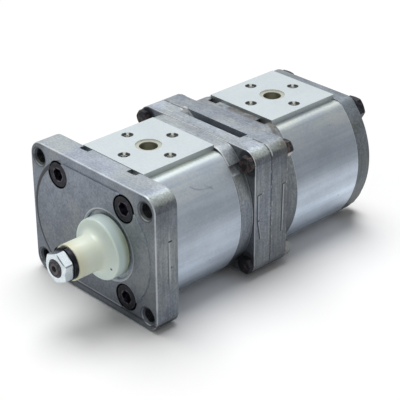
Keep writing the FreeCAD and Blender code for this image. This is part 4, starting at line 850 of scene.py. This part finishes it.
def zinc_finish(place):
    """Bright zinc plate with a bluish cast: three flats painted in tones of light and shade, and painted
    dark lines of shade along the edges of the flat that faces up to the right."""
    x, y, z = place.parts()
    cloud = place.noise(300, 3)
    fine = place.noise(2500, 2)
    lit, even, dull = [
        (x - SHAFT_AXIS[0][0]) * math.cos(angle) + z * math.sin(angle)
        for angle in (NUT_TURN + HALF_FLAT, NUT_TURN - HALF_FLAT, NUT_TURN + 3 * HALF_FLAT)
    ]
    under = NUT_HALF - 0.35 * MM
    colour = cloud.step(0.35, 0.65).mix(ZINC_DEEP, ZINC_PALE)
    # The flats are painted in tones of light and shade: the one facing up to the right lit, the lower right
    # one half lit and the top one shaded.
    colour = (lit.step(under, NUT_HALF) * 0.7).mix(colour, fine.step(0.4, 0.6).mix(ZINC_DEEP, ZINC_PALE))
    colour = (even.step(under, NUT_HALF) * z.step(2 * MM, -7 * MM) * 0.5).mix(colour, ZINC_HALF_LIT)
    colour = (dull.step(under, NUT_HALF) * 0.9).mix(colour, ZINC_SHADED)
    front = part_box("shaft_nut")[0].y
    reach = NUT_HALF / math.cos(HALF_FLAT)
    ridge = (SHAFT_AXIS[0][0] + reach * math.cos(NUT_TURN), reach * math.sin(NUT_TURN))
    # Dark lines of painted shade along the edges of the lit flat.
    edges = near(place, [ridge], 0, 2).step(0.75 * MM, 0.45 * MM)
    edges = edges.most(lit.band(NUT_HALF - 0.15 * MM, 0.55 * MM) * y.step(front + 0.9 * MM, front + 0.5 * MM))
    return {
        "Base Color": (edges * 0.8).mix(colour, ZINC_EDGE_SHADE),
        "Metallic": 0.85,
        "Roughness": cloud * 0.08 + 0.2,
        "Normal": cloud.bump(0.02 * MM, 0.3),
    }


dress(material("ground_steel", shaft_finish), "drive_shaft")
dress(material("zinc_plate", zinc_finish), "shaft_nut")
dress(material("black_spring_steel", black_steel_finish), "lock_washer", "seal_retaining_ring")


# The cap over the taper is moulded in one piece of translucent plastic: the disc pale green with a
# painted olive shade at its back, the hub more cream, yellower towards the washer, with one dark speck on the
# disc.
cap_low, cap_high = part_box("protective_cap")
DISC_LENGTH = 9.0 * MM
CAP_GATE = [(29.1 * MM, -7.8 * MM)]
CAP_SPECK = (0.03, 0.03, 0.03)
CAP_FLOW = (0.78, 0.82, 0.72)
CAP_GREEN = (0.66, 0.79, 0.77)
CAP_CREAM = (0.76, 0.82, 0.71)
CAP_YELLOW = (0.66, 0.62, 0.38)
CAP_SHADE_OLIVE = (0.40, 0.47, 0.34)


def cap_finish(place):
    """Green on the disc with a painted olive shade at its back on the right, and cream on the hub, with faint
    flow marks.
    """
    x, y, z = place.parts()
    cloud = place.noise(90, 3)
    disc_front = cap_high.y - DISC_LENGTH
    hub = y.step(disc_front + 3 * MM, disc_front - 5 * MM)
    tip = y.step(cap_low.y + 9 * MM, cap_low.y)
    colour = hub.mix(CAP_GREEN, CAP_CREAM)
    colour = (tip * (cloud + 0.2) * 0.8).mix(colour, CAP_YELLOW)
    colour = ((cloud - 0.45) * 0.8).most(0.0).mix(colour, CAP_FLOW)
    # Painted olive shade at the back of the disc on the right.
    shaded_back = y.step(cap_high.y - 5 * MM, cap_high.y - 1 * MM) * (x - z * 0.5).step(8 * MM, 32 * MM)
    colour = (shaded_back * (cloud + 0.45)).mix(colour, CAP_SHADE_OLIVE)
    gate = near(place, CAP_GATE, 0, 2).step(0.95 * MM, 0.55 * MM) * y.band(disc_front, 3 * MM)
    return {
        "Base Color": (gate * 0.9).mix(colour, CAP_SPECK),
        "Roughness": cloud * 0.1 + 0.33,
        "Subsurface Weight": 0.35,
        "Subsurface Radius": (2.0, 2.4, 1.2),
        "Subsurface Scale": 1.2 * MM,
        "Coat Weight": 0.15,
        "Normal": place.noise(240, 2).bump(0.05 * MM, 0.3),
    }


dress(material("cap_plastic", cap_finish), "protective_cap")


# Inside the pump: hardened and ground gears, aluminium bearing blocks with bronze sleeves, rubber
# seals, steel dowels and the slotted coupling. They show at the leak window and when taken apart.
GEAR_DEEP = (0.33, 0.32, 0.31)
GEAR_PALE = (0.48, 0.47, 0.46)
BLOCK_DEEP = (0.55, 0.55, 0.56)
BLOCK_PALE = (0.68, 0.68, 0.68)
BRONZE_DEEP = (0.33, 0.22, 0.10)
BRONZE_PALE = (0.48, 0.34, 0.17)
RUBBER_BLACK = (0.012, 0.012, 0.013)
RUBBER_BLOOM = (0.03, 0.03, 0.032)
BEARING_BLOCKS = [
    "%s_bearing_block_%s" % (pump, place)
    for pump in ("front", "rear")
    for place in ("fore", "aft")
]


def gear_finish(place):
    """Ground steel with fine lines along the teeth."""
    ground = place.scaled((1, 0.1, 1)).noise(2200, 2)
    return {
        "Base Color": ground.step(0.35, 0.65).mix(GEAR_DEEP, GEAR_PALE),
        "Metallic": 0.95,
        "Roughness": ground * 0.12 + 0.22,
    }


def block_finish(place):
    """Turned bearing metal."""
    turned = place.scaled((1, 3, 1)).noise(900, 2)
    return {
        "Base Color": turned.step(0.35, 0.65).mix(BLOCK_DEEP, BLOCK_PALE),
        "Metallic": 0.85,
        "Roughness": turned * 0.12 + 0.3,
    }


def sleeve_finish(place):
    """Bronze sleeve with a dull lining."""
    cloud = place.noise(700, 2)
    return {
        "Base Color": cloud.step(0.35, 0.65).mix(BRONZE_DEEP, BRONZE_PALE),
        "Metallic": 0.85,
        "Roughness": cloud * 0.15 + 0.33,
    }


def rubber_finish(place):
    """Black seal rubber with a faint bloom."""
    cloud = place.noise(500, 3)
    return {
        "Base Color": cloud.step(0.4, 0.7).mix(RUBBER_BLACK, RUBBER_BLOOM),
        "Roughness": cloud * 0.15 + 0.5,
    }


gear_steel = material("gear_steel", gear_finish)
dress(gear_steel, "front_driven_gear", "rear_drive_gear", "rear_driven_gear", "shaft_key", "shaft_coupling")
dress(gear_steel, "front_dowels", "rear_dowels")
dress(material("bearing_metal", block_finish), *BEARING_BLOCKS)
dress(material("sleeve_bronze", sleeve_finish), "front_bearing_sleeves", "rear_bearing_sleeves")
rubber = material("seal_rubber", rubber_finish)
dress(rubber, "front_axial_seals", "rear_axial_seals", "front_body_seals", "rear_body_seals")
dress(rubber, "coupling_shaft_seals")
dress(material("seal_case", block_finish), "shaft_seal")


# The floor is a wide white sheet just under the pump. It takes the pump's shadow and is seen in the
# metal.
FLOOR_HALF = 3.0
FLOOR_GAP = 0.05 * MM
PAPER_WHITE = (0.95, 0.95, 0.95)


def floor_finish(_):
    """Plain white paper."""
    return {"Base Color": PAPER_WHITE, "Roughness": 0.9, "Specular IOR Level": 0.1}


floor_height = cad_box[0].z - FLOOR_GAP
floor_mesh = bpy.data.meshes.new("floor")
corners = [(x * FLOOR_HALF, y * FLOOR_HALF, floor_height) for x, y in ((-1, -1), (1, -1), (1, 1), (-1, 1))]
floor_mesh.from_pydata(corners, [], [(0, 1, 2, 3)])
floor_mesh.materials.append(material("floor_paper", floor_finish))
floor = bpy.data.objects.new("floor", floor_mesh)
bpy.context.scene.collection.objects.link(floor)
